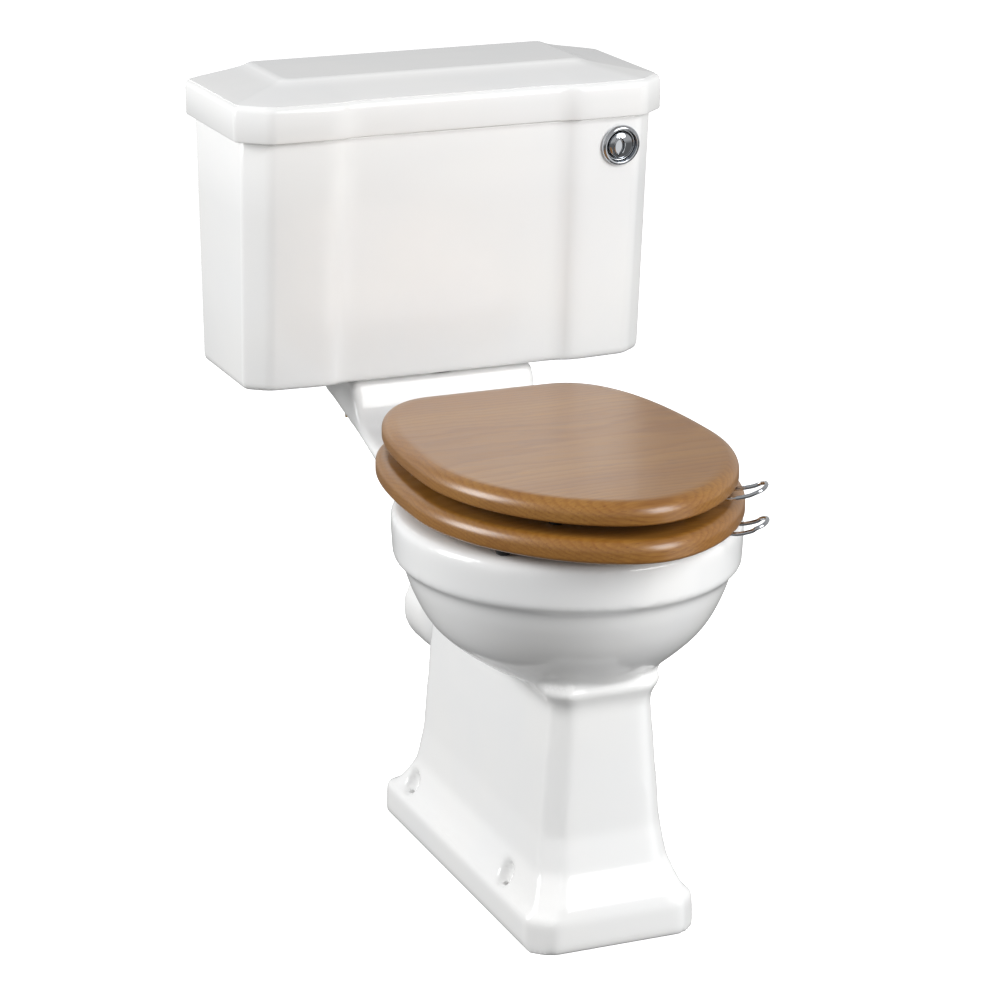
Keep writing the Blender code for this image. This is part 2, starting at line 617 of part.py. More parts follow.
def hinge_leaf(name, x, low, high):
    """An eye around the rod, with a plate that is screwed under the wood."""
    half = 0.0085
    eye = turned(name, pipe_profile(ROD_R + GAP, 0.0080, -half, half),
                 (x, out(AXIS_OUT), AXIS_Z), (0, math.radians(90), 0), 20)
    plate = box("plate", (x - half, out(0.312), low), (x + half, out(AXIS_OUT + 0.0005), high),
                0.0008)
    combine(eye, tool(plate, f"{name}_plate"), "UNION")
    top, bottom = (high, AXIS_Z + 0.0055) if low > AXIS_Z else (AXIS_Z - 0.0055, low)
    web = box("web", (x - half, out(AXIS_OUT + 0.0050), bottom),
              (x + half, out(AXIS_OUT + 0.0010), top))
    combine(eye, tool(web, f"{name}_web"), "UNION")
    keep(eye, name, CHROME)


# ---------------------------------------------------------------- oak seat
def seat_outline(data, grow):
    """Half turn from the back edge round the front, and its mirror image."""
    front = 0.749 + grow
    half = 0.1721 + grow
    corner = 0.0713
    knots = [
        # x, out, handle before, handle after, as (x, out) offsets
        (0.0, front, (-0.0737, 0.0), (0.0737, 0.0)),
        (half, 0.5225, (0.0, 0.128), (0.0, -0.139)),
        (corner, SEAT_BACK, (0.079 + grow, 0.0), (-0.030, 0.0)),
        (-corner, SEAT_BACK, (0.030, 0.0), (-0.079 - grow, 0.0)),
        (-half, 0.5225, (0.0, -0.139), (0.0, 0.128)),
    ]
    add_spline(data, knots)


def add_spline(data, knots):
    spline = data.splines.new("BEZIER")
    spline.bezier_points.add(len(knots) - 1)
    for knot, (x, distance, before, after) in zip(spline.bezier_points, knots):
        knot.handle_left_type = "FREE"
        knot.handle_right_type = "FREE"
        knot.co = (x, out(distance), 0)
        knot.handle_left = (x + before[0], out(distance + before[1]), 0)
        knot.handle_right = (x + after[0], out(distance + after[1]), 0)
    spline.use_cyclic_u = True


def oak_panel(name, low, high, grow, edge, hole):
    """A flat board with rounded edges, cut to the seat's outline, with its hole if it has one."""
    data = bpy.data.curves.new(name, "CURVE")
    data.dimensions = "2D"
    data.fill_mode = "BOTH"
    data.resolution_u = 9
    seat_outline(data, grow)
    if hole:
        k = 0.5523
        a, b, c, front, rear = 0.106, 0.132, 0.535, 0.132, 0.150
        add_spline(data, [
            (0.0, c + front, (-a * k, 0.0), (a * k, 0.0)),
            (a, c, (0.0, front * k), (0.0, -rear * k)),
            (0.0, c - rear, (a * k, 0.0), (-a * k, 0.0)),
            (-a, c, (0.0, -rear * k), (0.0, front * k)),
        ])
    data.bevel_depth = edge
    data.bevel_resolution = 2
    data.offset = -edge
    data.extrude = (high - low) / 2 - edge
    made = bpy.data.objects.new(name, data)
    toilet.objects.link(made)
    made.location = (0, 0, (low + high) / 2)
    keep(mesh_of_curve(made, name), name, OAK)


def bumper(name, x, distance, low, high):
    profile = [(0, high), (0.0090, high), (0.0085, low + 0.0015), (0.0065, low), (0, low)]
    keep(turned(name, profile, (x, out(distance), 0), steps=16), name, BLACK_RUBBER)


def loop_handle(name, edge, tip, z):
    """A wire loop that leaves the front right edge, edge and tip out from its middle, turning up."""
    middle = Vector((0.1330, out(0.6810), z))
    ahead = Vector((0.82, -0.57, 0.0)).normalized()
    along = Vector((0.57, 0.82, 0.0)).normalized()
    span = 0.0165
    shape = [(edge - 0.012, span, 0), (edge + 0.001, span, 0.0006),
             ((edge + tip) / 2, span, 0.0042), (tip - 0.0085, span * 0.98, 0.0078),
             (tip - 0.0028, span * 0.75, 0.0100), (tip - 0.0004, span * 0.35, 0.0110),
             (tip, 0, 0.0112)]
    shape += [(a, -s, h) for a, s, h in reversed(shape[:-1])]
    line = [middle + ahead * a + along * s + Vector((0, 0, h)) for a, s, h in shape]
    keep(polyline(name, bend(line, 2), 0.0022), name, CHROME)


def seat():
    oak_panel("seat_ring", RING_Z, RING_TOP_Z, RING_GROW, 0.0085, True)
    oak_panel("seat_lid", SEAT_LID_Z, SEAT_LID_TOP_Z, 0.0, 0.0090, False)
    for side_name, sign in (("left", -1), ("right", 1)):
        bumper(f"ring_bumper_front_{side_name}", sign * 0.125, 0.635, RIM_Z + GAP, RING_Z - GAP)
        bumper(f"ring_bumper_rear_{side_name}", sign * 0.140, 0.450, RIM_Z + GAP, RING_Z - GAP)
        bumper(f"lid_bumper_front_{side_name}", sign * 0.078, 0.664, RING_TOP_Z + GAP,
               SEAT_LID_Z - GAP)
        bumper(f"lid_bumper_rear_{side_name}", sign * 0.135, 0.440, RING_TOP_Z + GAP,
               SEAT_LID_Z - GAP)
    loop_handle("seat_ring_handle", -0.0072, 0.0210, RING_Z - 0.0026)
    loop_handle("seat_lid_handle", -0.0140, 0.0191, SEAT_LID_Z - 0.0026)


pan()
cistern()
cistern_lid()
coupling()
flush_valve()
fill_valve()
push_button()
hinges()
seat()
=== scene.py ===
import math

import bpy
import numpy as np
from mathutils import Matrix, Vector


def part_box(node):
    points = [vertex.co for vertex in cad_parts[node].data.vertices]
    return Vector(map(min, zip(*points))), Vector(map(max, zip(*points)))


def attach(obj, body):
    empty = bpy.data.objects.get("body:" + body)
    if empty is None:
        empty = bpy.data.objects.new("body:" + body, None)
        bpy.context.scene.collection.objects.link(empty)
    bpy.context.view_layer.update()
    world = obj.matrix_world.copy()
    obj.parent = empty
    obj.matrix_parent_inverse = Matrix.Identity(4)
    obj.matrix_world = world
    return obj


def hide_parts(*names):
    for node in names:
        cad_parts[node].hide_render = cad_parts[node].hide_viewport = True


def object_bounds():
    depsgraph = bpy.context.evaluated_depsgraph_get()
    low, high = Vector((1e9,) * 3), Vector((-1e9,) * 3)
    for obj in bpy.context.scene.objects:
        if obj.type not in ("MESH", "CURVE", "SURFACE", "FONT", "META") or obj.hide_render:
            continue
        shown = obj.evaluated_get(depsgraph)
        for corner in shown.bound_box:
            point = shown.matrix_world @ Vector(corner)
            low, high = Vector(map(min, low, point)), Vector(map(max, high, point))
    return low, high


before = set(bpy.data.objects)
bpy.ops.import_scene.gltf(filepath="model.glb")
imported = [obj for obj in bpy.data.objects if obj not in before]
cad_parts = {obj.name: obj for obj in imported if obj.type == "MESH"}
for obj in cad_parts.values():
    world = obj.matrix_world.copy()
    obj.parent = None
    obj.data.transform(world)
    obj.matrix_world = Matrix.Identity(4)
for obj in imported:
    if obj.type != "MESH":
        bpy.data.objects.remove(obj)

bl_info = {
    "name": "Close coupled toilet",
    "version": (1, 0, 0),
    "blender": (4, 5, 0),
    "location": "View3D > Sidebar > Toilet",
    "description": "Builds a glazed china toilet with a cistern, a push button and an oak seat",
    "category": "Add Mesh",
}

CAD_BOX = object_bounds()
WALL_Y = CAD_BOX[1][1]          # the plane of the wall; places are given as a distance out from it
CHINA_BODY = "ceramic_and_fittings"

# pan
RIM_Z = 0.455
RIM_HALF = 0.188
BOWL_OUT = 0.512
STEP_Z = 0.400
SHELF_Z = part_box("pan")[1].z
SHELF_HALF = 0.114
OUTLET_Z = 0.231
OUTLET_OUT = 0.138
SCREWS_OUT = (0.257, 0.545)     # the rear and the front fixing holes of the foot
SCREW_X = 0.0840
SCREW_HOLE_R = 0.0048
SCOOP_R = 0.0140                # the round scoop above each fixing hole
SCOOP_Z = 0.0540
SEAL_RECESS_R = 0.0475
SEAL_RECESS_Z = 0.4920
TRAP_R = 0.051
TRAP_BORE_R = 0.039
DUCT_R = 0.034
DUCT_BORE_R = 0.026
SHELF_EDGE_R = 0.007

# cistern and lid
CISTERN_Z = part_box("cistern")[0].z
CISTERN_TOP_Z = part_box("cistern")[1].z
LID_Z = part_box("cistern_lid")[0].z
LID_TOP_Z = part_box("cistern_lid")[1].z
LID_EDGE_Z = 0.8540
WALL = 0.009
VALVE_OUT = 0.095
BOLT_X = 0.085
BOLT_HOLE_R = 0.0055
VALVE_HOLE_R = 0.0305
INLET_X, INLET_OUT, INLET_HOLE_R = -0.190, 0.060, 0.0105
WALL_SCREW_X, WALL_SCREW_Z, WALL_SCREW_R = 0.180, 0.785, 0.0035

# push button
BUTTON_X = 0.2003
BUTTON_Z = 0.779
BUTTON_OUT = 0.1984
BUTTON_TILT = math.radians(5.6)
BUTTON_YAW = math.radians(2.4)
BUTTON_HOLE_R = 0.0175
DISC_R = 0.0136                 # the domed part of the full flush disc
DOME_RISE = 0.0024
ALMOND_X = -0.0035              # the almond lies off the middle of the disc

# seat and hinges
AXIS_OUT = 0.262
AXIS_Z = 0.482
HINGE_X = 0.0775
HINGE_HOLE_R = 0.0060
SEAT_BACK = 0.274
RING_LOW, RING_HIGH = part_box("seat_ring")[0].z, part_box("seat_ring")[1].z
LID_LOW, LID_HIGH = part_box("seat_lid")[0].z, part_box("seat_lid")[1].z
RING_GROW = 0.009               # how far the ring reaches past the cover all round
SEAT_HALF = 0.1721
SEAT_FRONT = 0.749
SEAT_WIDEST = 0.5225
SEAT_CORNER_X = 0.0713          # half the length of the straight back edge
SEAT_MIDDLE = 0.52
CIRCLE = 0.5523                 # handle length that makes a Bezier quarter look round
HOLE_HALF, HOLE_MIDDLE, HOLE_FRONT, HOLE_REAR = 0.106, 0.535, 0.132, 0.150
LID_LOW_ROUND = 0.004
LID_ROUND_HEIGHT = 0.0150
LID_CROWN = 0.0007              # how far the cover's top rises towards its middle
RING_LOW_ROUND = 0.005
RING_ROUND_HEIGHT = 0.0125
HOLE_ROUND = 0.014
HANDLE_PLACE = (0.1330, 0.6810)
HANDLE_SPAN = 0.0178
HANDLE_DROP = 0.0026            # the loops lie this far below the boards' undersides
HINGE_ROD_R = 0.0045
HINGE_ROD_HALF = 0.0930


def out(distance):
    """World Y of a place that many metres out from the wall."""
    return WALL_Y - distance


# ------------------------------------------------------------------ settings
class TOILET_PG_china(bpy.types.PropertyGroup):
    colour: bpy.props.FloatVectorProperty(
        name="Glaze colour", description="Colour of the fired white glaze", subtype="COLOR",
        size=3, min=0.0, max=1.0, default=(0.905, 0.905, 0.895))
    wave: bpy.props.FloatProperty(
        name="Glaze waviness", description="Height of the slow waves left by casting and firing",
        unit="LENGTH", default=0.00035, min=0.0, max=0.002, precision=5)
    grain: bpy.props.FloatProperty(
        name="Casting grid", description="Spacing of the points on the pan's cast surface",
        unit="LENGTH", default=0.0044, min=0.002, max=0.02, precision=4)


class TOILET_PG_seat(bpy.types.PropertyGroup):
    lid_round: bpy.props.FloatProperty(
        name="Cover round-over", description="How far the cover's top edge is rounded in",
        unit="LENGTH", default=0.016, min=0.004, max=0.02, precision=4)
    ring_round: bpy.props.FloatProperty(
        name="Ring round-over", description="How far the ring's top edge is rounded in",
        unit="LENGTH", default=0.013, min=0.004, max=0.02, precision=4)
    wire: bpy.props.FloatProperty(
        name="Handle wire", description="Diameter of the loop handles' wire",
        unit="LENGTH", default=0.0044, min=0.003, max=0.006, precision=4)


class TOILET_PG_stage(bpy.types.PropertyGroup):
    light: bpy.props.FloatProperty(
        name="Studio light", description="Strength of the soft boxes, as a share of the usual",
        default=1.0, min=0.1, max=4.0)
    room: bpy.props.FloatProperty(
        name="Room light", description="Strength of the plain light from all around",
        default=1.0, min=0.0, max=3.0)


# ------------------------------------------------------------------ numpy surfaces
def level(flat, z):
    """Places given as (x, out), as world points at one height."""
    return np.column_stack([flat[:, 0], out(flat[:, 1]), np.full(len(flat), z)])


def to_object(name, points, quads, triangles):
    """A mesh from arrays of points, four-sided and three-sided faces, turned to face outwards.

    The sign of the summed tetrahedron volumes between the origin and each face says which way
    the faces point.
    """
    quads = np.asarray(quads, dtype=np.int64).reshape(-1, 4)
    triangles = np.asarray(triangles, dtype=np.int64).reshape(-1, 3)
    halves = np.concatenate([quads[:, [0, 1, 2]], quads[:, [0, 2, 3]], triangles])
    a, b, c = (points[halves[:, i]] for i in range(3))
    if np.einsum("ij,ij->i", a, np.cross(b, c)).sum() < 0:
        quads = quads[:, ::-1]
        triangles = triangles[:, ::-1]
    loops = np.concatenate([quads.ravel(), triangles.ravel()]).astype(np.int32)
    totals = np.concatenate([np.full(len(quads), 4), np.full(len(triangles), 3)]).astype(np.int32)
    starts = np.concatenate([[0], np.cumsum(totals)[:-1]]).astype(np.int32)
    mesh = bpy.data.meshes.new(name)
    mesh.vertices.add(len(points))
    mesh.vertices.foreach_set("co", np.ascontiguousarray(points, dtype=np.float32).ravel())
    mesh.loops.add(len(loops))
    mesh.loops.foreach_set("vertex_index", loops)
    mesh.polygons.add(len(totals))
    mesh.polygons.foreach_set("loop_start", starts)
    mesh.polygons.foreach_set("loop_total", totals)
    mesh.update(calc_edges=True)
    mesh.validate()
    made = bpy.data.objects.new(name, mesh)
    bpy.context.scene.collection.objects.link(made)
    return made


def skin(name, rows, start=None, end=None, loop=False):
    """A closed surface over a grid: each row is a closed line of points, joined to the next.

    The first and last rows close on a point by a fan, or on each other when loop is true.
    """
    rows = np.asarray(rows, dtype=float)
    count, around, _ = rows.shape
    index = np.arange(count * around).reshape(count, around)
    beside = np.roll(index, -1, axis=1)
    low, high = index[:-1], index[1:]
    low_beside, high_beside = beside[:-1], beside[1:]
    quads = np.stack([low, low_beside, high_beside, high], axis=-1).reshape(-1, 4)
    if loop:
        seam = np.stack([index[-1], beside[-1], beside[0], index[0]], axis=-1)
        quads = np.concatenate([quads, seam])
    points = rows.reshape(-1, 3)
    triangles = []
    if start is not None:
        triangles.append(np.stack([beside[0], index[0], np.full(around, len(points))], axis=-1))
        points = np.vstack([points, start])
    if end is not None:
        triangles.append(np.stack([index[-1], beside[-1], np.full(around, len(points))], axis=-1))
        points = np.vstack([points, end])
    triangles = np.concatenate(triangles) if triangles else []
    return to_object(name, points, quads, triangles)


def capped(name, rows):
    """A closed surface over rows of points whose two ends close on their own middles."""
    rows = np.array(rows)
    return skin(name, rows, rows[0].mean(axis=0), rows[-1].mean(axis=0))


def rounded(corners, radii, steps=6, closed=True):
    """A line of corners with each one cut back by its radius and bridged by a parabola.

    Each corner P gives (1-t)^2 A + 2t(1-t) P + t^2 B, with A and B on its two sides.
    """
    corners = np.asarray(corners, dtype=float)
    radii = np.broadcast_to(np.asarray(radii, dtype=float), (len(corners),)).copy()
    before = np.roll(corners, 1, axis=0)
    after = np.roll(corners, -1, axis=0)
    if not closed:
        before[0] = corners[0]
        after[-1] = corners[-1]
        radii[0] = radii[-1] = 0.0
    back = before - corners
    ahead = after - corners
    back_length = np.linalg.norm(back, axis=1)[:, None] + 1e-12
    ahead_length = np.linalg.norm(ahead, axis=1)[:, None] + 1e-12
    reach = radii[:, None]
    a = corners + back / back_length * np.minimum(reach, 0.49 * back_length)
    b = corners + ahead / ahead_length * np.minimum(reach, 0.49 * ahead_length)
    t = np.linspace(0.0, 1.0, steps)[None, :, None]
    line = (1 - t) ** 2 * a[:, None] + 2 * t * (1 - t) * corners[:, None] + t ** 2 * b[:, None]
    return line.reshape(-1, corners.shape[1])


def through(knots, count):
    """A smooth line through rows of knots, count points for each step (Catmull-Rom)."""
    knots = np.asarray(knots, dtype=float)
    ends = np.vstack([2 * knots[0] - knots[1], knots, 2 * knots[-1] - knots[-2]])
    a, b, c, d = (ends[i:len(ends) - 3 + i, None] for i in range(4))
    t = (np.arange(count) / count)[None, :, None]
    line = 0.5 * (2 * b + (c - a) * t + (2 * a - 5 * b + 4 * c - d) * t ** 2
                  + (3 * b - a - 3 * c + d) * t ** 3)
    return np.vstack([line.reshape(-1, knots.shape[1]), knots[-1]])


def turned(name, profile, place=(0, 0, 0), turn=None, around=64, radius=0.0, steps=5):
    """A profile of (radius, height) turned about its own Z axis, its corners rounded.

    A point is (r cos a, r sin a, z). A profile that starts and ends on the axis closes there by
    fans; any other is a ring and closes on itself.
    """
    profile = np.asarray(profile, dtype=float)
    ring = profile[0, 0] > 0 or profile[-1, 0] > 0
    if radius > 0.0:
        profile = rounded(profile, radius, steps, closed=ring)
    angle = np.linspace(0.0, math.tau, around, endpoint=False)
    grid = np.stack([profile[:, :1] * np.cos(angle), profile[:, :1] * np.sin(angle),
                     profile[:, 1:] * np.ones(around)], axis=-1)
    matrix = Matrix.Translation(place)
    if turn is not None:
        matrix = matrix @ turn
    spin = np.array(matrix)
    grid = grid @ spin[:3, :3].T + spin[:3, 3]
    if ring:
        return skin(name, grid, loop=True)
    inside = profile[:, 0] > 1e-9
    start, end = grid[0, 0], grid[-1, 0]
    return skin(name, grid[inside], start, end)


def tube(name, path, radius, around=20, across=(1.0, 0.0, 0.0)):
    """A round tube along a path: a circle in the plane square to the path at each point.

    The circle's two directions are the part of across that is square to the path, and the cross
    product of the path's direction with it.
    """
    path = np.asarray(path, dtype=float)
    radius = np.broadcast_to(np.asarray(radius, dtype=float), (len(path),))
    ahead = np.gradient(path, axis=0)
    ahead /= np.linalg.norm(ahead, axis=1)[:, None]
    across = np.asarray(across, dtype=float)
    side = across - ahead * (ahead @ across)[:, None]
    side /= np.linalg.norm(side, axis=1)[:, None]
    up = np.cross(ahead, side)
    angle = np.linspace(0.0, math.tau, around, endpoint=False)[None, :, None]
    rows = path[:, None] + radius[:, None, None] * (side[:, None] * np.cos(angle)
                                                    + up[:, None] * np.sin(angle))
    return skin(name, rows, path[0], path[-1])


def rod(radius, low, high):
    """Profile of a plain rod, from the middle of its top round to the middle of its foot."""
    return [(0.0, high), (radius, high), (radius, low), (0.0, low)]


# ------------------------------------------------------------------ colours and materials
def linear(hexadecimal):
    """An sRGB hex colour as linear RGBA."""
    parts = [int(hexadecimal[i:i + 2], 16) / 255 for i in (0, 2, 4)]
    return [c / 12.92 if c <= 0.04045 else ((c + 0.055) / 1.055) ** 2.4 for c in parts] + [1.0]


def add(tree, kind, settings=None, inputs=None, links=None):
    """Add a node: its own settings, its sockets' values, and the links into its sockets."""
    node = tree.nodes.new(kind)
    for key, value in (settings or {}).items():
        setattr(node, key, value)
    for key, value in (inputs or {}).items():
        node.inputs[key].default_value = value
    for key, source in (links or {}).items():
        tree.links.new(source, node.inputs[key])
    return node


def material(name, **inputs):
    """A material whose Principled shader has the given constant inputs, and its node tree."""
    made = bpy.data.materials.new(name)
    made.use_nodes = True
    shader = made.node_tree.nodes["Principled BSDF"]
    for key, value in inputs.items():
        shader.inputs[key.replace("_", " ")].default_value = value
    made.diffuse_color = shader.inputs["Base Color"].default_value
    return made, made.node_tree, shader


def ramp(tree, source, stops):
    """A colour ramp through (place, colour) stops, fed by a value."""
    node = add(tree, "ShaderNodeValToRGB", links={"Fac": source})
    while len(node.color_ramp.elements) < len(stops):
        node.color_ramp.elements.new(0.5)
    for element, (place, colour) in zip(node.color_ramp.elements, stops):
        element.position = place
        element.color = colour
    return node.outputs["Color"]


def from_object(tree):
    """The surface's own coordinates, in metres."""
    return add(tree, "ShaderNodeTexCoord").outputs["Object"]


def noise(tree, place, scale, detail, roughness=0.5):
    """Clouds of values about one half; scale is one over the size of a cloud in metres."""
    return add(tree, "ShaderNodeTexNoise", None,
               {"Scale": scale, "Detail": detail, "Roughness": roughness},
               {"Vector": place}).outputs["Fac"]


def stretched(tree, place, scale, location=(0.0, 0.0, 0.0)):
    """Coordinates scaled along each axis and then moved."""
    return add(tree, "ShaderNodeMapping", {"vector_type": "POINT"},
               {"Location": location, "Scale": scale}, {"Vector": place}).outputs["Vector"]


def multiplied(tree, share, under, over):
    """A colour multiplied by a share of another."""
    return add(tree, "ShaderNodeMix", {"data_type": "RGBA", "blend_type": "MULTIPLY"},
               {0: share}, {6: under, 7: over}).outputs[2]


def vary(tree, shader, source, span, roughness):
    """Roughness that follows a value, from one span to the other."""
    rough = add(tree, "ShaderNodeMapRange", None,
                {"From Min": span[0], "From Max": span[1],
                 "To Min": roughness[0], "To Max": roughness[1]}, {"Value": source})
    tree.links.new(rough.outputs["Result"], shader.inputs["Roughness"])


def relief(tree, shader, height, strength, depth):
    """Small hollows that follow a value, depth in metres."""
    bump = add(tree, "ShaderNodeBump", None, {"Strength": strength, "Distance": depth},
               {"Height": height})
    tree.links.new(bump.outputs["Normal"], shader.inputs["Normal"])


def glazed_china():
    """Vitreous china, slip cast and spray glazed: hard clear gloss over warm white.

    Casting and firing leave waves some 60 mm long that make long highlights swim, and the glaze
    pools a little cooler in places.
    """
    settings = bpy.context.scene.toilet_china
    white = list(settings.colour) + [1.0]
    made, tree, shader = material("glazed_vitreous_china", Base_Color=white, Roughness=0.16,
                                  IOR=1.45, Coat_Weight=0.10, Coat_Roughness=0.06)
    place = from_object(tree)
    cool = [c * f for c, f in zip(white, (0.975, 0.982, 0.995))] + [1.0]
    tint = ramp(tree, noise(tree, place, 9.0, 2.0), [(0.35, white), (0.75, cool)])
    tree.links.new(tint, shader.inputs["Base Color"])
    relief(tree, shader, noise(tree, place, 1 / 0.06, 1.0), 0.5, settings.wave)
    return made


def lacquered_oak():
    """Solid oak under satin lacquer, its grain running from side to side.

    Growth rings 4 mm apart, about a pith line below the board, give straight grain on the flat and
    arches where an edge cuts across them. Fine fibres are about 2 mm apart and far longer than
    they are wide, and open pores are dark dashes.
    """
    made, tree, shader = material("lacquered_oak", Roughness=0.34, IOR=1.5, Coat_Weight=0.55,
                                  Coat_Roughness=0.28, Specular_IOR_Level=0.5)
    place = from_object(tree)
    sway = add(tree, "ShaderNodeTexNoise", None, {"Scale": 5.0, "Detail": 3.0, "Roughness": 0.45},
               {"Vector": place})
    bend = add(tree, "ShaderNodeVectorMath", {"operation": "SCALE"}, {"Scale": 0.014},
               {0: sway.outputs["Color"]})
    moved = add(tree, "ShaderNodeVectorMath", {"operation": "ADD"}, None,
                {0: place, 1: bend.outputs["Vector"]}).outputs["Vector"]
    pith = stretched(tree, moved, (0.10, 1.0, 1.0), (0.0, 0.13, -0.15))
    rings = add(tree, "ShaderNodeTexWave",
                {"wave_type": "RINGS", "rings_direction": "X", "wave_profile": "SAW"},
                {"Scale": math.tau / 20 / 0.004, "Distortion": 4.5, "Detail": 2.0,
                 "Detail Scale": 0.6}, {"Vector": pith})
    along = stretched(tree, moved, (0.045, 1.0, 1.0))
    fibre = noise(tree, along, 1 / 0.0024, 3.0, 0.6)
    pore = add(tree, "ShaderNodeTexVoronoi", {"feature": "F1"}, {"Scale": 1 / 0.0032},
               {"Vector": stretched(tree, moved, (0.08, 1.0, 1.0))})
    base = ramp(tree, rings.outputs["Fac"], [(0.0, linear("a37434")), (0.45, linear("9f7030")),
                                             (0.80, linear("966628")), (1.0, linear("a27232"))])
    shade = ramp(tree, fibre, [(0.30, linear("dcd2c6")), (0.66, linear("ffffff"))])
    patch = ramp(tree, noise(tree, along, 16.0, 2.0),
                 [(0.30, linear("ece2d6")), (0.70, linear("ffffff"))])
    dash = ramp(tree, pore.outputs["Distance"],
                [(0.10, linear("8a6034")), (0.22, linear("ffffff"))])
    colour = multiplied(tree, 0.75, base, shade)
    colour = multiplied(tree, 0.8, colour, patch)
    colour = multiplied(tree, 0.35, colour, dash)
    tree.links.new(colour, shader.inputs["Base Color"])
    vary(tree, shader, fibre, (0.3, 0.7), (0.30, 0.40))
    relief(tree, shader, fibre, 0.25, 0.00015)
    return made


def chrome_plate():
    """Bright chromium over polished brass: a mirror with a cool cast and fine wipe marks."""
    made, tree, shader = material("chrome_plate", Base_Color=linear("cdd0d4"), Metallic=1.0,
                                  Roughness=0.06)
    haze = noise(tree, from_object(tree), 1 / 0.02, 3.0)
    vary(tree, shader, haze, (0.35, 0.7), (0.04, 0.09))
    return made


def grained(name, colour, roughness, grain, depth, **inputs):
    """A plain material with a fine grain: grain is its size in metres, depth its height."""
    made, tree, shader = material(name, Base_Color=linear(colour), Roughness=roughness, **inputs)
    speck = noise(tree, from_object(tree), 1 / grain, 2.0)
    vary(tree, shader, speck, (0.0, 1.0), (roughness * 0.85, roughness * 1.15))
    relief(tree, shader, speck, 0.4, depth)
    return made


def finish_piece(piece, finish, body, slot, *nodes, smooth=40):
    """Give a piece its material, smooth shading and body, and hide the CAD nodes it stands for; its
    slot is not used.
    """
    piece.data.materials.clear()
    piece.data.materials.append(bpy.data.materials[finish])
    piece.data.shade_smooth()
    piece.data.set_sharp_from_angle(angle=math.radians(smooth))
    if nodes:
        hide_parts(*nodes)
    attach(piece, body)
    return piece


def applied(piece):
    """Replace a piece's mesh by what its modifiers make of it, and take the modifiers away."""
    bpy.context.view_layer.update()
    seen = piece.evaluated_get(bpy.context.evaluated_depsgraph_get())
    mesh = bpy.data.meshes.new_from_object(seen)
    piece.modifiers.clear()
    old = piece.data
    piece.data = mesh
    bpy.data.meshes.remove(old)
    return piece


def carve(piece, others, operation):
    """Join or cut a piece with other solids, one exact Boolean for each, and remove those."""
    for other in others:
        step = piece.modifiers.new(other.name, "BOOLEAN")
        step.operation = operation
        step.solver = "EXACT"
        step.object = other
    applied(piece)
    for other in others:
        bpy.data.objects.remove(other, do_unlink=True)
    return piece


# ------------------------------------------------------------------ pan
def egg(half, centre, front, rear, z, count=160):
    """A closed egg: x = -w cos a and out = c + r sin a, with r the front or the rear reach."""
    angle = np.linspace(0.0, math.tau, count, endpoint=False)
    reach = np.where(np.sin(angle) > 0, front, rear)
    return np.column_stack([-half * np.cos(angle), out(centre + reach * np.sin(angle)),
                            np.full(count, z)])


def egg_skin(name, stations, steps=5):
    """Eggs stacked through stations of (z, half, centre, front, rear), joined smoothly."""
    return capped(name, [egg(half, centre, front, rear, z)
                         for z, half, centre, front, rear in through(stations, steps)])


def footing_skin(name, stations, corner_radius):
    """Chamfered rectangles stacked in Z, each corner rounded.

    A station is (z, half width, front of the sides, chamfer, rear, rear chamfer).
    """
    rows = []
    for z, half, front, corner, rear, rear_corner in stations:
        side = [(half - rear_corner, rear - rear_corner), (half, rear), (half, front),
                (half - corner, front + corner)]
        plan = [(-x, out(d)) for x, d in side] + [(x, out(d)) for x, d in reversed(side)]
        flat = rounded(plan, corner_radius, 6)
        rows.append(np.column_stack([flat, np.full(len(flat), z)]))
    return capped(name, rows)


def shelf_skin(name, stations):
    """Rounded rectangles across the pan, carried out from the wall through (out, low, high)."""
    rows = []
    for distance, low, high in through(stations, 3):
        corners = [(-SHELF_HALF, low), (SHELF_HALF, low), (SHELF_HALF, high), (-SHELF_HALF, high)]
        flat = rounded(corners, SHELF_EDGE_R, 6)
        rows.append(np.column_stack([flat[:, 0], np.full(len(flat), out(distance)), flat[:, 1]]))
    return capped(name, rows)


def pipe_run(name, points, radius, around):
    """A round pipe in the middle plane, through points given as (out, height)."""
    return tube(name, through([(0.0, out(d), z) for d, z in points], 6), radius, around)


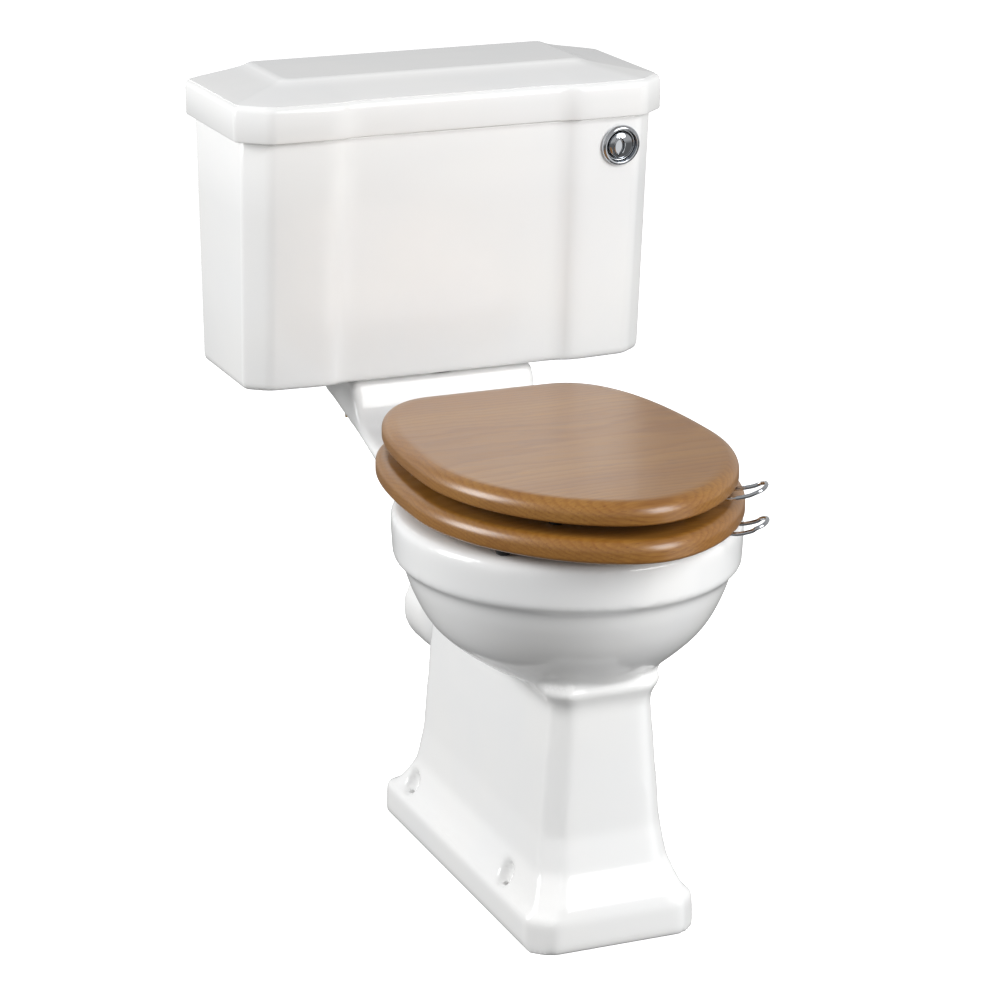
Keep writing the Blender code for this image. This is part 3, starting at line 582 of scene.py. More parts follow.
class TOILET_OT_pan(bpy.types.Operator):
    """Cast the pan: rim, bowl, pedestal, foot, shelf, trap and flush duct in one china body"""
    bl_idname = "toilet.pan"
    bl_label = "Pan"

    def execute(self, context):
        c = BOWL_OUT
        body = egg_skin("pan_china", [
            (0.276, 0.060, c, 0.090, 0.095), (0.281, 0.078, c, 0.102, 0.110),
            (0.289, 0.094, c, 0.113, 0.122), (0.299, 0.109, c, 0.124, 0.133),
            (0.312, 0.127, c, 0.138, 0.145), (0.330, 0.146, c, 0.156, 0.160),
            (0.350, 0.159, c, 0.171, 0.176), (0.375, 0.170, c, 0.184, 0.190),
            (STEP_Z - 0.003, 0.1775, c, 0.1925, 0.200), (STEP_Z + 0.004, 0.1860, c, 0.2010, 0.208),
            (STEP_Z + 0.014, 0.1868, c, 0.2022, 0.209), (RIM_Z - 0.013, RIM_HALF, c, 0.204, 0.212),
            (RIM_Z - 0.004, 0.1858, c, 0.2018, 0.2098), (RIM_Z, 0.177, c, 0.193, 0.201)])
        foot = footing_skin("foot", [
            (0.0, 0.1005, 0.6350, 0.0240, 0.2050, 0.010),
            (0.036, 0.0995, 0.6340, 0.0240, 0.2060, 0.010),
            (0.0395, 0.0978, 0.6330, 0.0238, 0.2077, 0.009),
            (0.0415, 0.0950, 0.6325, 0.0235, 0.2110, 0.009),
            (0.044, 0.0912, 0.6322, 0.0230, 0.2165, 0.008),
            (0.050, 0.0875, 0.6315, 0.0223, 0.2220, 0.008),
            (0.060, 0.0835, 0.6256, 0.0213, 0.2310, 0.008),
            (0.080, 0.0767, 0.6155, 0.0200, 0.2450, 0.008),
            (0.120, 0.0710, 0.6085, 0.0185, 0.2540, 0.008),
            (0.200, 0.0645, 0.6073, 0.0170, 0.2560, 0.008),
            (0.262, 0.0590, 0.6074, 0.0160, 0.2560, 0.008),
            (0.272, 0.0610, 0.6095, 0.0165, 0.2560, 0.008),
            (0.284, 0.0680, 0.6140, 0.0185, 0.2540, 0.008),
            (0.300, 0.0660, 0.6000, 0.0180, 0.2500, 0.008)], 0.005)
        shelf = shelf_skin("shelf", [
            # out, underside, top
            (0.045, 0.4812, SHELF_Z), (0.075, 0.4760, SHELF_Z), (0.110, 0.4672, SHELF_Z),
            (0.143, 0.4590, SHELF_Z), (0.1475, 0.4580, SHELF_Z - 0.0008),
            (0.1500, 0.4574, 0.5080), (0.1530, 0.4567, 0.4970), (0.1600, 0.4547, 0.4825),
            (0.1760, 0.4496, 0.4670), (0.2000, 0.4420, 0.4588), (0.2300, 0.4328, RIM_Z),
            (0.3000, 0.4120, RIM_Z - 0.0004), (0.3900, 0.4050, RIM_Z - 0.001)])
        tail = [(0.245, 0.262), (0.205, 0.235), (0.180, OUTLET_Z), (0.158, OUTLET_Z)]
        trap = pipe_run("trap", [(0.400, 0.270), (0.345, 0.300), (0.295, 0.305), *tail,
                                 (OUTLET_OUT, OUTLET_Z)], TRAP_R, 48)
        duct = pipe_run("duct", [(VALVE_OUT, 0.4930), (0.098, 0.466), (0.125, 0.438),
                                 (0.180, 0.417), (0.260, 0.412), (0.345, 0.415)], DUCT_R, 40)
        carve(body, [foot, shelf, trap, duct], "UNION")
        bowl = egg_skin("bowl", [
            (0.246, 0.034, 0.428, 0.034, 0.034), (0.262, 0.044, 0.430, 0.044, 0.044),
            (0.295, 0.052, 0.440, 0.054, 0.050), (0.318, 0.076, 0.460, 0.082, 0.072),
            (0.335, 0.104, 0.480, 0.116, 0.110), (0.355, 0.132, 0.495, 0.148, 0.144),
            (0.385, 0.156, 0.506, 0.172, 0.166), (RIM_Z - 0.036, 0.158, 0.508, 0.180, 0.165),
            (RIM_Z - 0.030, 0.126, 0.505, 0.154, 0.132),
            (RIM_Z - 0.004, 0.124, 0.505, 0.152, 0.130),
            (RIM_Z + 0.010, 0.124, 0.505, 0.152, 0.130)], 4)
        bore = pipe_run("trap_bore", [(0.432, 0.268), (0.395, 0.270), (0.345, 0.290),
                                      (0.295, 0.300), *tail, (OUTLET_OUT - 0.010, OUTLET_Z)],
                        TRAP_BORE_R, 40)
        flush = pipe_run("flush_bore", [(VALVE_OUT, 0.5200), (VALVE_OUT, 0.490), (0.099, 0.465),
                                        (0.126, 0.438), (0.180, 0.417), (0.260, 0.412),
                                        (0.360, 0.415)], DUCT_BORE_R, 32)
        recess = turned("recess", rod(SEAL_RECESS_R, SEAL_RECESS_Z, 0.530),
                        (0, out(VALVE_OUT), 0))
        hollow = footing_skin("hollow", [
            (-0.010, 0.066, 0.600, 0.020, 0.240, 0.008), (0.045, 0.062, 0.596, 0.018, 0.262, 0.008),
            (0.100, 0.058, 0.590, 0.016, 0.268, 0.008), (0.165, 0.052, 0.586, 0.014, 0.272, 0.008)],
            0.004)
        angle = np.linspace(math.pi / 2, -math.pi / 2, 17)
        ball = SCOOP_R * np.column_stack([np.cos(angle), np.sin(angle)])
        ball[[0, -1], 0] = 0.0
        sinks, holes = [], []
        for sign in (-1, 1):
            for distance in SCREWS_OUT:
                sinks.append(turned(f"sink_{len(sinks)}", ball,
                                    (sign * SCREW_X, out(distance), SCOOP_Z), around=32))
            for x, distance, radius, low, high in (
                    (BOLT_X, VALVE_OUT, BOLT_HOLE_R, 0.40, 0.60),
                    (HINGE_X, AXIS_OUT, HINGE_HOLE_R, 0.38, 0.50),
                    *((SCREW_X, place, SCREW_HOLE_R, -0.01, 0.06) for place in SCREWS_OUT)):
                holes.append(turned(f"hole_{len(holes)}", rod(radius, low, high),
                                    (sign * x, out(distance), 0), around=32))
        carve(body, [bowl, bore, flush, recess, hollow] + sinks, "DIFFERENCE")
        cast = body.modifiers.new("cast", "REMESH")
        cast.mode = "VOXEL"
        cast.voxel_size = context.scene.toilet_china.grain
        soften = body.modifiers.new("soften", "SMOOTH")
        soften.factor = 0.5
        soften.iterations = 5
        applied(body)
        # the drillings come after the casting grid, which is too coarse for them
        carve(body, holes, "DIFFERENCE")
        finish_piece(body, "glazed_vitreous_china", CHINA_BODY, "glazed_china", "pan", smooth=75)
        return {"FINISHED"}


# ------------------------------------------------------------------ cistern and its lid
# Corners of a plan as (x, out): rear, side, chamfer, wing, centre panel.
BODY_TOP = np.array([(0.2500, 0.004), (0.2500, 0.1720), (0.2250, 0.2005), (0.1490, 0.2035),
                     (0.1290, 0.1975)])
BODY_FOOT = np.array([(0.2470, 0.004), (0.2470, 0.1500), (0.2220, 0.1710), (0.1510, 0.1760),
                      (0.1340, 0.1690)])
LID_EDGE = np.array([(0.2600, 0.0), (0.2600, 0.1801), (0.2273, 0.2106), (0.1475, 0.2123),
                     (0.1269, 0.2057)])
LID_PANEL = np.array([(0.1850, 0.0), (0.1850, 0.1200), (0.1770, 0.1285), (0.1460, 0.1285),
                      (0.1260, 0.1285)])
# How far each corner moves, as (x, out), when the walls are moved out by one metre.
MOVE = np.array([(1.0, 0.0), (1.0, 0.4), (0.4, 1.0), (0.0, 1.0), (0.0, 1.0)])
CORNERS = np.array([0.003, 0.005, 0.009, 0.016, 0.016])


def plan(low, high, share, grow, z, rear=0.0, steps=8):
    """A symmetric plan a share of the way between two, its walls moved out, its corners round."""
    right = low + (high - low) * share + MOVE * grow
    right[0, 1] += rear
    left = right[::-1] * (-1.0, 1.0)
    corners = np.vstack([right, left])
    radii = np.concatenate([CORNERS, CORNERS[::-1]])
    return level(rounded(corners, radii, steps), z)


class TOILET_OT_cistern(bpy.types.Operator):
    """Cast the cistern: a thin walled box with chamfered corners and a centre panel set back"""
    bl_idname = "toilet.cistern"
    bl_label = "Cistern"

    def execute(self, context):
        height = CISTERN_TOP_Z - CISTERN_Z
        outside = ((0.0, -0.0075), (0.0006, -0.0045), (0.0025, -0.0020), (0.0055, -0.0007),
                   (0.010, 0.0), (height * 0.35, 0.0), (height * 0.7, 0.0), (height - 0.003, 0.0),
                   (height - 0.0008, -0.0008), (height, -0.003))
        inside = ((height, -WALL + 0.003), (height - 0.0008, -WALL + 0.0008),
                  (height - 0.003, -WALL), (height * 0.7, -WALL), (height * 0.35, -WALL),
                  (0.034, -WALL), (0.022, -WALL - 0.001), (0.0145, -WALL - 0.006),
                  (0.012, -WALL - 0.014))
        rows = [plan(BODY_FOOT, BODY_TOP, rise / height, grow, CISTERN_Z + rise, rear)
                for wall, rear in ((outside, 0.0), (inside, WALL)) for rise, grow in wall]
        body = skin("cistern_china", rows, (0, out(0.09), CISTERN_Z),
                    (0, out(0.09), CISTERN_Z + 0.012))
        cuts = []
        for x, distance, radius in ((0.0, VALVE_OUT, VALVE_HOLE_R),
                                    (BOLT_X, VALVE_OUT, BOLT_HOLE_R),
                                    (-BOLT_X, VALVE_OUT, BOLT_HOLE_R),
                                    (INLET_X, INLET_OUT, INLET_HOLE_R)):
            cuts.append(turned(f"floor_hole_{len(cuts)}", rod(radius, 0.50, 0.55),
                               (x, out(distance), 0), around=40))
        back = Matrix.Rotation(math.pi / 2, 4, "X")
        for sign in (-1, 1):
            cuts.append(turned(f"screw_hole_{sign}", rod(WALL_SCREW_R, -0.02, 0.02),
                               (sign * WALL_SCREW_X, out(0.008), WALL_SCREW_Z), back, 24))
        cuts.append(turned("button_hole", rod(BUTTON_HOLE_R, -0.02, 0.02), BUTTON_PLACE,
                           BUTTON_TURN, 48))
        carve(body, cuts, "DIFFERENCE")
        finish_piece(body, "glazed_vitreous_china", CHINA_BODY, "glazed_china", "cistern",
                     smooth=35)
        return {"FINISHED"}


class TOILET_OT_cistern_lid(bpy.types.Operator):
    """Cast the cistern lid: a skirt, a hollow hipped slope and a raised flat panel"""
    bl_idname = "toilet.cistern_lid"
    bl_label = "Cistern lid"

    def execute(self, context):
        rows = []
        # the recess, from its ceiling down to the lower edge
        for z, share, grow in ((0.8530, 0.5, -0.010), (0.8440, 0.0, -0.023),
                               (LID_Z + 0.001, 0.0, -0.023), (LID_Z, 0.0, -0.022)):
            rows.append(plan(LID_EDGE, LID_PANEL, share, grow, z, 0.020))
        rows.append(plan(LID_EDGE, LID_PANEL, 0.0, -0.0025, LID_Z))
        for z, grow in ((LID_Z + 0.0007, -0.0010), (LID_Z + 0.003, 0.0), (LID_EDGE_Z - 0.007, 0.0),
                        (LID_EDGE_Z - 0.0035, -0.0008), (LID_EDGE_Z - 0.001, -0.0025),
                        (LID_EDGE_Z, -0.0050)):
            rows.append(plan(LID_EDGE, LID_PANEL, 0.0, grow, z))
        slope = through([(0.06, 0.8548), (0.22, 0.8570), (0.52, 0.8606), (0.80, 0.8640),
                         (0.93, 0.8664), (1.00, 0.8684), (1.06, 0.8694), (1.12, LID_TOP_Z)], 4)
        for share, z in slope:
            rows.append(plan(LID_EDGE, LID_PANEL, share, 0.0, z))
        body = skin("cistern_lid_china", rows, (0, out(0.09), 0.8530), (0, out(0.06), LID_TOP_Z))
        finish_piece(body, "glazed_vitreous_china", "lift_off_lid", "glazed_china", "cistern_lid",
                     smooth=35)
        return {"FINISHED"}


# ------------------------------------------------------------------ push button
BUTTON_PLACE = (BUTTON_X, out(BUTTON_OUT), BUTTON_Z)
BUTTON_TURN = (Matrix.Rotation(BUTTON_YAW, 4, "Z")
               @ Matrix.Rotation(math.pi / 2 + BUTTON_TILT, 4, "X"))


def almond(name, half_width, half_height, stations):
    """A pointed oval from two arcs, stacked through stations of (inset, height) along local Z.

    An arc's radius is (w^2 + h^2) / 2w, so that both arcs pass through the points at +-h.
    """
    rows = []
    for inset, height in stations:
        width, tall = half_width - inset, half_height - inset * 1.3
        radius = (width ** 2 + tall ** 2) / (2 * width)
        angle = np.linspace(-1, 1, 25)[:-1] * math.asin(tall / radius)
        arc = np.column_stack([radius * np.cos(angle) - radius + width, radius * np.sin(angle)])
        flat = np.vstack([arc, -arc])
        rows.append(np.column_stack([flat, np.full(len(flat), height)]))
    rows = np.array(rows)
    spin = np.array(Matrix.Translation(BUTTON_PLACE) @ BUTTON_TURN)
    rows = rows + (ALMOND_X, 0.0, 0.0)
    rows = rows @ spin[:3, :3].T + spin[:3, 3]
    return capped(name, rows)


class TOILET_OT_push_button(bpy.types.Operator):
    """Turn the chrome push button: a bezel, a domed full flush disc and an almond half flush"""
    bl_idname = "toilet.push_button"
    bl_label = "Push button"

    def execute(self, context):
        bezel = turned("button_bezel_chrome", [
            (0.0195, 0.0062), (0.0215, 0.0059), (0.0232, 0.0045), (0.0240, 0.0024),
            (0.0240, 0.0009), (0.0172, 0.0009), (0.0172, -0.0200), (0.0158, -0.0200),
            (0.0158, -0.0080), (0.0176, -0.0005), (0.0188, 0.0040)],
            BUTTON_PLACE, BUTTON_TURN, 96, 0.0006, 5)
        finish_piece(bezel, "chrome_plate", CHINA_BODY, "chrome", "button_bezel")
        # the dome's height falls with the square of the radius
        radius = np.linspace(0.0, DISC_R, 12)
        dome = [(r, 0.0066 - DOME_RISE * (r / DISC_R) ** 2) for r in radius]
        disc = turned("full_flush_disc", dome + [(0.0146, 0.0037), (0.0150, 0.0030),
                                                 (0.0150, -0.0040), (0.0, -0.0040)],
                      BUTTON_PLACE, BUTTON_TURN, 96)
        slot = almond("half_slot", 0.0068, 0.0118, [(0.0, -0.02), (0.0, 0.02)])
        carve(disc, [slot], "DIFFERENCE")
        finish_piece(disc, "chrome_plate", "full_button", "chrome", "full_flush_button", smooth=30)
        half = almond("half_flush_almond", 0.0065, 0.0114,
                      [(0.0, -0.0040), (0.0, 0.0040), (0.0004, 0.0047), (0.0014, 0.0051),
                       (0.0036, 0.0052)])
        finish_piece(half, "chrome_plate", "half_button", "chrome", "half_flush_button", smooth=40)
        return {"FINISHED"}


# ------------------------------------------------------------------ oak seat
def bezier(knots, count):
    """Points of a closed line of cubic Bezier spans, count for each.

    A knot is (x, out, back handle, ahead handle), the handles as (x, out) offsets.
    """
    place = np.array([knot[:2] for knot in knots], dtype=float)
    back = place + [knot[2] for knot in knots]
    ahead = place + [knot[3] for knot in knots]
    t = np.linspace(0.0, 1.0, count, endpoint=False)[None, :, None]
    a, b = place[:, None], ahead[:, None]
    c, d = np.roll(back, -1, axis=0)[:, None], np.roll(place, -1, axis=0)[:, None]
    line = (1 - t) ** 3 * a + 3 * t * (1 - t) ** 2 * b + 3 * t ** 2 * (1 - t) * c + t ** 3 * d
    return line.reshape(-1, 2)


def evenly(line, count):
    """A closed line resampled at equal steps along it."""
    closed = np.vstack([line, line[:1]])
    length = np.concatenate([[0.0], np.cumsum(np.linalg.norm(np.diff(closed, axis=0), axis=1))])
    at = np.linspace(0.0, length[-1], count, endpoint=False)
    return np.column_stack([np.interp(at, length, closed[:, i]) for i in range(2)])


def drawn_in(line, distance):
    """A closed line moved inwards along its normals, which are its tangents turned a quarter."""
    tangent = np.roll(line, -1, axis=0) - np.roll(line, 1, axis=0)
    tangent /= np.linalg.norm(tangent, axis=1)[:, None]
    normal = np.column_stack([-tangent[:, 1], tangent[:, 0]])
    inward = line.mean(axis=0) - line
    side = np.sign(np.sum(normal * inward))
    return line + normal * side * distance


def seat_outline(grow, count=360):
    """The seat's outline as (x, out): a round front, full sides and a straight back edge."""
    half, corner = SEAT_HALF + grow, SEAT_CORNER_X
    knots = [(0.0, SEAT_FRONT + grow, (-0.0737, 0.0), (0.0737, 0.0)),
             (half, SEAT_WIDEST, (0.0, 0.128), (0.0, -0.139)),
             (corner, SEAT_BACK, (0.079 + grow, 0.0), (-0.030, 0.0)),
             (-corner, SEAT_BACK, (0.030, 0.0), (-0.079 - grow, 0.0)),
             (-half, SEAT_WIDEST, (0.0, -0.139), (0.0, 0.128))]
    return evenly(bezier(knots, 120), count)


def quarter(width, height, steps=9):
    """A quarter ellipse as (inset, height), from the side (0, 0) to the flat (width, height)."""
    angle = np.linspace(0.0, math.pi / 2, steps)
    return np.column_stack([width * (1 - np.cos(angle)), height * np.sin(angle)])


class TOILET_OT_seat_lid(bpy.types.Operator):
    """Cut the oak cover: a solid board with a broad round-over on its upper edge"""
    bl_idname = "toilet.seat_lid"
    bl_label = "Seat cover"

    def execute(self, context):
        outline = seat_outline(0.0)
        reach = context.scene.toilet_seat.lid_round
        low = quarter(LID_LOW_ROUND, LID_LOW_ROUND)[::-1]
        # the round-over stops short of the flat, which leaves a soft edge between them
        high = quarter(reach * 1.25, LID_ROUND_HEIGHT, 20)[:15]
        stations = [(inset, LID_LOW + LID_LOW_ROUND - rise) for inset, rise in low]
        stations += [(inset, LID_HIGH - LID_CROWN - high[-1][1] + rise) for inset, rise in high]
        rows = [level(drawn_in(outline, inset), z) for inset, z in stations]
        middle = np.array([0.0, out(SEAT_MIDDLE), LID_HIGH])
        edge = rows[-1]
        for share in (0.96, 0.88, 0.72, 0.5, 0.25):
            ring = middle + (edge - middle) * share
            ring[:, 2] = LID_HIGH - LID_CROWN * share ** 4
            rows.append(ring)
        under = rows[0]
        base = np.array([0.0, out(SEAT_MIDDLE), LID_LOW])
        rows = [base + (under - base) * share for share in (0.4, 0.8)] + rows
        board = skin("oak_cover", rows, base, middle)
        finish_piece(board, "lacquered_oak", "seat_cover", "oak", "seat_lid")
        return {"FINISHED"}


class TOILET_OT_seat_ring(bpy.types.Operator):
    """Cut the oak ring: one section swept between the outline and the egg shaped hole"""
    bl_idname = "toilet.seat_ring"
    bl_label = "Seat ring"

    def execute(self, context):
        outline = seat_outline(RING_GROW)
        k, a, c, front, rear = CIRCLE, HOLE_HALF, HOLE_MIDDLE, HOLE_FRONT, HOLE_REAR
        hole = bezier([(0.0, c + front, (-a * k, 0.0), (a * k, 0.0)),
                       (a, c, (0.0, front * k), (0.0, -rear * k)),
                       (0.0, c - rear, (a * k, 0.0), (-a * k, 0.0)),
                       (-a, c, (0.0, -rear * k), (0.0, front * k))], 200)
        heading = np.arctan2(outline[:, 0], outline[:, 1] - c)
        turn = np.arctan2(hole[:, 0], hole[:, 1] - c)
        order = np.argsort(turn)
        inner = np.column_stack([np.interp(heading, turn[order], hole[order, i], period=math.tau)
                                 for i in range(2)])
        reach = context.scene.toilet_seat.ring_round
        top, low = RING_HIGH, RING_LOW
        # (how far in from the outline, height), from the flat bottom to the flat top
        foot = quarter(RING_LOW_ROUND, RING_LOW_ROUND)
        side = [(inset, low + RING_LOW_ROUND - rise) for inset, rise in foot[::-1]]
        side += [(inset, top - RING_ROUND_HEIGHT + rise)
                 for inset, rise in quarter(reach, RING_ROUND_HEIGHT, 12)]
        # the same from the hole, from the flat top to the flat bottom
        bore = [(inset, top - RING_ROUND_HEIGHT + rise)
                for inset, rise in quarter(HOLE_ROUND, RING_ROUND_HEIGHT)[::-1]]
        bore += [(inset, low + RING_LOW_ROUND - rise) for inset, rise in foot]
        rows = [level(drawn_in(outline, inset), z) for inset, z in side]
        across = inner - outline
        across /= np.linalg.norm(across, axis=1)[:, None]
        rows += [level(inner - across * inset, z) for inset, z in bore]
        board = skin("oak_ring", rows, loop=True)
        finish_piece(board, "lacquered_oak", "seat", "oak", "seat_ring")
        return {"FINISHED"}


class TOILET_OT_seat_handles(bpy.types.Operator):
    """Bend the two chrome wire loops that lift the ring and the cover"""
    bl_idname = "toilet.seat_handles"
    bl_label = "Loop handles"

    def execute(self, context):
        ahead = np.array([0.82, -0.57, 0.0]) / math.hypot(0.82, 0.57)
        along = np.array([0.57, 0.82, 0.0]) / math.hypot(0.57, 0.82)
        span = HANDLE_SPAN
        place_x, place_out = HANDLE_PLACE
        radius = context.scene.toilet_seat.wire / 2
        for node, body, edge, tip, z in (
                ("seat_ring_handle", "seat", -0.0072, 0.0210, RING_LOW - HANDLE_DROP),
                ("seat_lid_handle", "seat_cover", -0.0140, 0.0191, LID_LOW - HANDLE_DROP)):
            half = np.array([(edge - 0.012, span, 0), (edge + 0.001, span, 0.0006),
                             ((edge + tip) / 2, span, 0.0042),
                             (tip - 0.0085, span * 0.98, 0.0078),
                             (tip - 0.0028, span * 0.75, 0.0100),
                             (tip - 0.0004, span * 0.35, 0.0110)])
            shape = np.vstack([half, [(tip, 0, 0.0112)], half[::-1] * (1, -1, 1)])
            line = through(shape, 10)
            path = (np.array([place_x, out(place_out), z]) + line[:, :1] * ahead
                    + line[:, 1:2] * along + line[:, 2:] * (0, 0, 1))
            wire = tube(node + "_wire", path, radius, 24, across=(0.0, 0.0, 1.0))
            finish_piece(wire, "chrome_plate", body, "chrome", node)
        return {"FINISHED"}


class TOILET_OT_bumpers(bpy.types.Operator):
    """Mould the eight rubber bumpers under the ring and the cover"""
    bl_idname = "toilet.bumpers"
    bl_label = "Bumpers"

    def execute(self, context):
        names = [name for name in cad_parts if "_bumper_" in name]
        for name in sorted(names):
            low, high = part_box(name)
            x, y = (low.x + high.x) / 2, (low.y + high.y) / 2
            foot = turned(name + "_rubber", [
                (0, high.z), (0.0090, high.z), (0.0086, low.z + 0.0030), (0.0070, low.z),
                (0.0030, low.z), (0, low.z + 0.0010)], (x, y, 0), around=48, radius=0.0012, steps=5)
            body = "seat" if name.startswith("ring") else "seat_cover"
            finish_piece(foot, "moulded_black_rubber", body, "black_rubber", name)
        return {"FINISHED"}


# ------------------------------------------------------------------ hinges
class TOILET_OT_hinges(bpy.types.Operator):
    """Turn the chrome hinge pillars and the rod that joins them"""
    bl_idname = "toilet.hinges"
    bl_label = "Hinges"

    def execute(self, context):
        along_x = Matrix.Rotation(math.pi / 2, 4, "Y")
        bar = turned("hinge_bar", rod(HINGE_ROD_R, -HINGE_ROD_HALF, HINGE_ROD_HALF),
                     (0, out(AXIS_OUT), AXIS_Z), along_x, 48, 0.0010, 4)
        finish_piece(bar, "chrome_plate", CHINA_BODY, "chrome", "hinge_rod")
        for side, sign in (("left", -1), ("right", 1)):
            place = (sign * HINGE_X, out(AXIS_OUT), 0)
            post = turned(f"hinge_post_{side}", [
                (0, 0.4915), (0.0040, 0.4912), (0.0078, 0.4893), (0.0095, 0.4840), (0.0095, 0.4720),
                (0.0108, 0.4670), (0.0135, 0.4630), (0.0175, 0.4610), (0.0200, 0.4590),
                (0.0200, 0.4563), (0.0, 0.4563)], place, around=64, radius=0.0009, steps=4)
            hole = turned("rod_hole", rod(0.0048, -0.03, 0.03), (place[0], place[1], AXIS_Z),
                          along_x, 40)
            carve(post, [hole], "DIFFERENCE")
            finish_piece(post, "chrome_plate", CHINA_BODY, "chrome", f"hinge_pillar_{side}")
        return {"FINISHED"}


# ------------------------------------------------------------------ fittings
FITTINGS = {
    "sand_cast_brass": ("coupling_bolt", "coupling_wing_nut", "hinge_stud", "hinge_nut"),
    "moulded_black_rubber": ("coupling_seal", "coupling_washer", "cistern_pad", "flush_valve_seal",
                             "fill_valve_washer", "flush_cable"),
    "moulded_white_acetal": ("flush_valve_cage", "flush_valve_nut", "fill_valve_riser",
                             "fill_valve_nut", "fill_valve_cap", "button_nut", "button_barrel"),
    "moulded_blue_polypropylene": ("flush_valve_piston", "flush_valve_head", "fill_valve_float"),
    "chrome_plate": ("ring_leaf", "lid_leaf"),
}


class TOILET_OT_fittings(bpy.types.Operator):
    """Finish the fittings whose CAD shape stays: valves, bolts, nuts, washers and hinge leaves"""
    bl_idname = "toilet.fittings"
    bl_label = "Fittings"

    def execute(self, context):
        for finish, starts in FITTINGS.items():
            for name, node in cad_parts.items():
                if name.startswith(starts):
                    node.data.materials.clear()
                    node.data.materials.append(bpy.data.materials[finish])
        return {"FINISHED"}


class TOILET_OT_finishes(bpy.types.Operator):
    """Mix the materials that the pieces are finished with"""
    bl_idname = "toilet.finishes"
    bl_label = "Finishes"

    def execute(self, context):
        glazed_china()
        lacquered_oak()
        chrome_plate()
        # moulded EPDM: dull black, its skin finely pitted
        grained("moulded_black_rubber", "161616", 0.62, 0.0006, 0.00004)
        # cast brass, turned bright: warm yellow with fine grain
        grained("sand_cast_brass", "c9a35a", 0.30, 0.0008, 0.00003, Metallic=1.0)
        # injection moulded plastics: an even satin skin with a spark finish
        grained("moulded_white_acetal", "e6e7e4", 0.38, 0.0009, 0.00003, IOR=1.48)
        grained("moulded_blue_polypropylene", "2c5fa8", 0.40, 0.0009, 0.00003, IOR=1.49)
        return {"FINISHED"}


# ------------------------------------------------------------------ stage
VIEW_AZIMUTH = math.radians(-22.2762)
VIEW_ELEVATION = math.radians(17.2916)
VIEW_ROLL = math.radians(-0.0861)
VIEW_DISTANCE = 3.7586
VIEW_TARGET = (-0.0639, out(0.4768), 0.4610)
LENS, SENSOR = 124.95, 36.0
FLOOR_REACH = 30.0
FLOOR_GLOW = 0.75
# A light's place, what it faces, its width and height in metres, and its power in watts. The low
# card is one that hardly anything but the push button's chrome catches.
LIGHTS = {
    "right_box": ((1.45, -2.65, 2.00), (0.0, out(0.35), 0.60), 1.8, 2.2, 92),
    "left_box": ((-3.25, 0.90, 1.75), (0.0, out(0.35), 0.60), 1.6, 2.2, 104),
    "low_card": ((0.72, -0.85, 0.16), BUTTON_PLACE, 0.7, 0.7, 1.2),
}


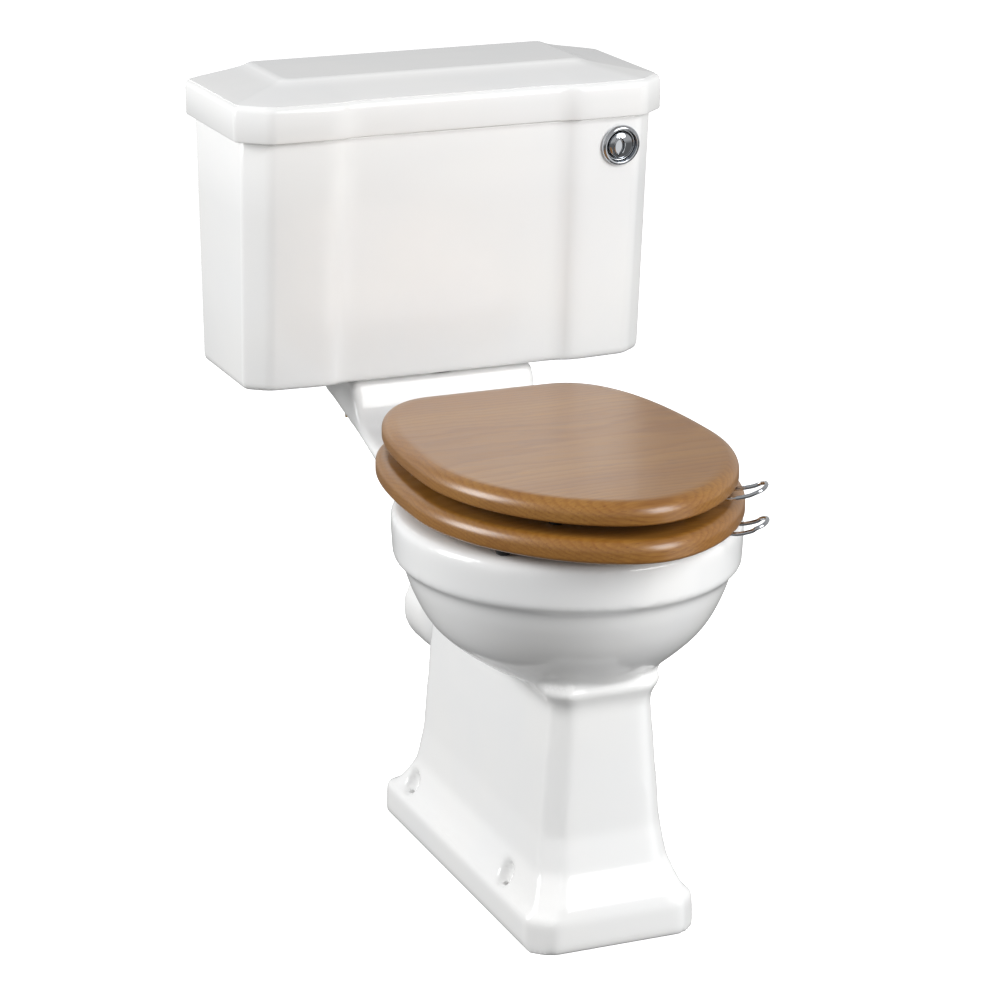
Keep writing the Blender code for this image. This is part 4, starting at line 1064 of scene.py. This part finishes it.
class TOILET_OT_stage(bpy.types.Operator):
    """Lay the white floor, hang the soft boxes and place the camera"""
    bl_idname = "toilet.stage"
    bl_label = "Stage"

    def soft_box(self, name, place, aim, width, height, power):
        """An area light of that width, height and power in watts, turned to face aim."""
        data = bpy.data.lights.new(name, "AREA")
        data.shape = "RECTANGLE"
        data.size, data.size_y = width, height
        data.energy = power * bpy.context.scene.toilet_stage.light
        lamp = bpy.data.objects.new(name, data)
        bpy.context.scene.collection.objects.link(lamp)
        lamp.location = place
        lamp.rotation_euler = (Vector(aim) - Vector(place)).to_track_quat("-Z", "Y").to_euler()

    def execute(self, context):
        scene = context.scene
        corners = FLOOR_REACH * np.array([(-1, -1, 0), (1, -1, 0), (1, 1, 0), (-1, 1, 0)])
        mesh = bpy.data.meshes.new("floor")
        mesh.from_pydata(corners.tolist(), [], [(0, 1, 2, 3)])
        floor = bpy.data.objects.new("floor", mesh)
        scene.collection.objects.link(floor)
        paper, tree, shader = material("white_paper_sweep", Base_Color=linear("f4f4f4"),
                                       Roughness=0.9, Specular_IOR_Level=0.1,
                                       Emission_Color=(1, 1, 1, 1), Emission_Strength=FLOOR_GLOW)
        relief(tree, shader, noise(tree, from_object(tree), 40.0, 2.0), 0.05, 0.0002)
        mesh.materials.append(paper)
        # the floor takes shadows but throws no light back, so the studio below is the world's own
        floor.visible_diffuse = False
        floor.visible_glossy = False

        world = bpy.data.worlds.new("studio")
        world.use_nodes = True
        tree = world.node_tree
        sky = tree.nodes["Background"]
        place = add(tree, "ShaderNodeTexCoord")
        height = add(tree, "ShaderNodeSeparateXYZ", links={"Vector": place.outputs["Generated"]})
        rise = add(tree, "ShaderNodeMapRange", None, {"From Min": -1.0},
                   {"Value": height.outputs["Z"]})
        # dark below, brightest at the horizon, dimmer overhead
        room = ramp(tree, rise.outputs["Result"],
                    [(0.0, (0.13, 0.13, 0.13, 1)), (0.38, (0.15, 0.15, 0.15, 1)),
                     (0.46, (0.52, 0.52, 0.52, 1)), (0.68, (0.46, 0.46, 0.46, 1)),
                     (0.95, (0.36, 0.36, 0.37, 1))])
        tree.links.new(room, sky.inputs["Color"])
        sky.inputs["Strength"].default_value = scene.toilet_stage.room
        scene.world = world
        scene.view_settings.view_transform = "Standard"

        for name, light in LIGHTS.items():
            self.soft_box(name, *light)

        data = bpy.data.cameras.new("camera")
        data.lens = LENS
        data.sensor_width = SENSOR
        camera = bpy.data.objects.new("camera", data)
        scene.collection.objects.link(camera)
        target = Vector(VIEW_TARGET)
        flat = math.cos(VIEW_ELEVATION)
        away = Vector((math.sin(VIEW_AZIMUTH) * flat, -math.cos(VIEW_AZIMUTH) * flat,
                       math.sin(VIEW_ELEVATION)))
        camera.location = target + away * VIEW_DISTANCE
        look = (-away).to_track_quat("-Z", "Y")
        camera.rotation_euler = (look.to_matrix() @ Matrix.Rotation(VIEW_ROLL, 3, "Z")).to_euler()
        data.clip_end = 100.0
        scene.camera = camera
        return {"FINISHED"}


# ------------------------------------------------------------------ add-on
STEPS = ("finishes", "pan", "cistern", "cistern_lid", "push_button", "seat_lid", "seat_ring",
         "seat_handles", "bumpers", "hinges", "fittings", "stage")


class TOILET_PT_panel(bpy.types.Panel):
    """Lists the pieces and their sizes in the sidebar"""
    bl_label = "Close coupled toilet"
    bl_idname = "TOILET_PT_panel"
    bl_space_type = "VIEW_3D"
    bl_region_type = "UI"
    bl_category = "Toilet"

    def draw(self, context):
        scene = context.scene
        for group in (scene.toilet_china, scene.toilet_seat, scene.toilet_stage):
            for key in group.bl_rna.properties.keys():
                if key not in ("rna_type", "name"):
                    self.layout.prop(group, key)
        for step in STEPS:
            self.layout.operator(f"toilet.{step}")


CLASSES = (TOILET_PG_china, TOILET_PG_seat, TOILET_PG_stage, TOILET_OT_finishes, TOILET_OT_pan,
           TOILET_OT_cistern, TOILET_OT_cistern_lid, TOILET_OT_push_button, TOILET_OT_seat_lid,
           TOILET_OT_seat_ring, TOILET_OT_seat_handles, TOILET_OT_bumpers, TOILET_OT_hinges,
           TOILET_OT_fittings, TOILET_OT_stage, TOILET_PT_panel)


def register():
    for kind in CLASSES:
        bpy.utils.register_class(kind)
    bpy.types.Scene.toilet_china = bpy.props.PointerProperty(type=TOILET_PG_china)
    bpy.types.Scene.toilet_seat = bpy.props.PointerProperty(type=TOILET_PG_seat)
    bpy.types.Scene.toilet_stage = bpy.props.PointerProperty(type=TOILET_PG_stage)


def unregister():
    del bpy.types.Scene.toilet_stage
    del bpy.types.Scene.toilet_seat
    del bpy.types.Scene.toilet_china
    for kind in reversed(CLASSES):
        bpy.utils.unregister_class(kind)


def main():
    register()
    for step in STEPS:
        getattr(bpy.ops.toilet, step)()


if __name__ == "__main__":
    main()
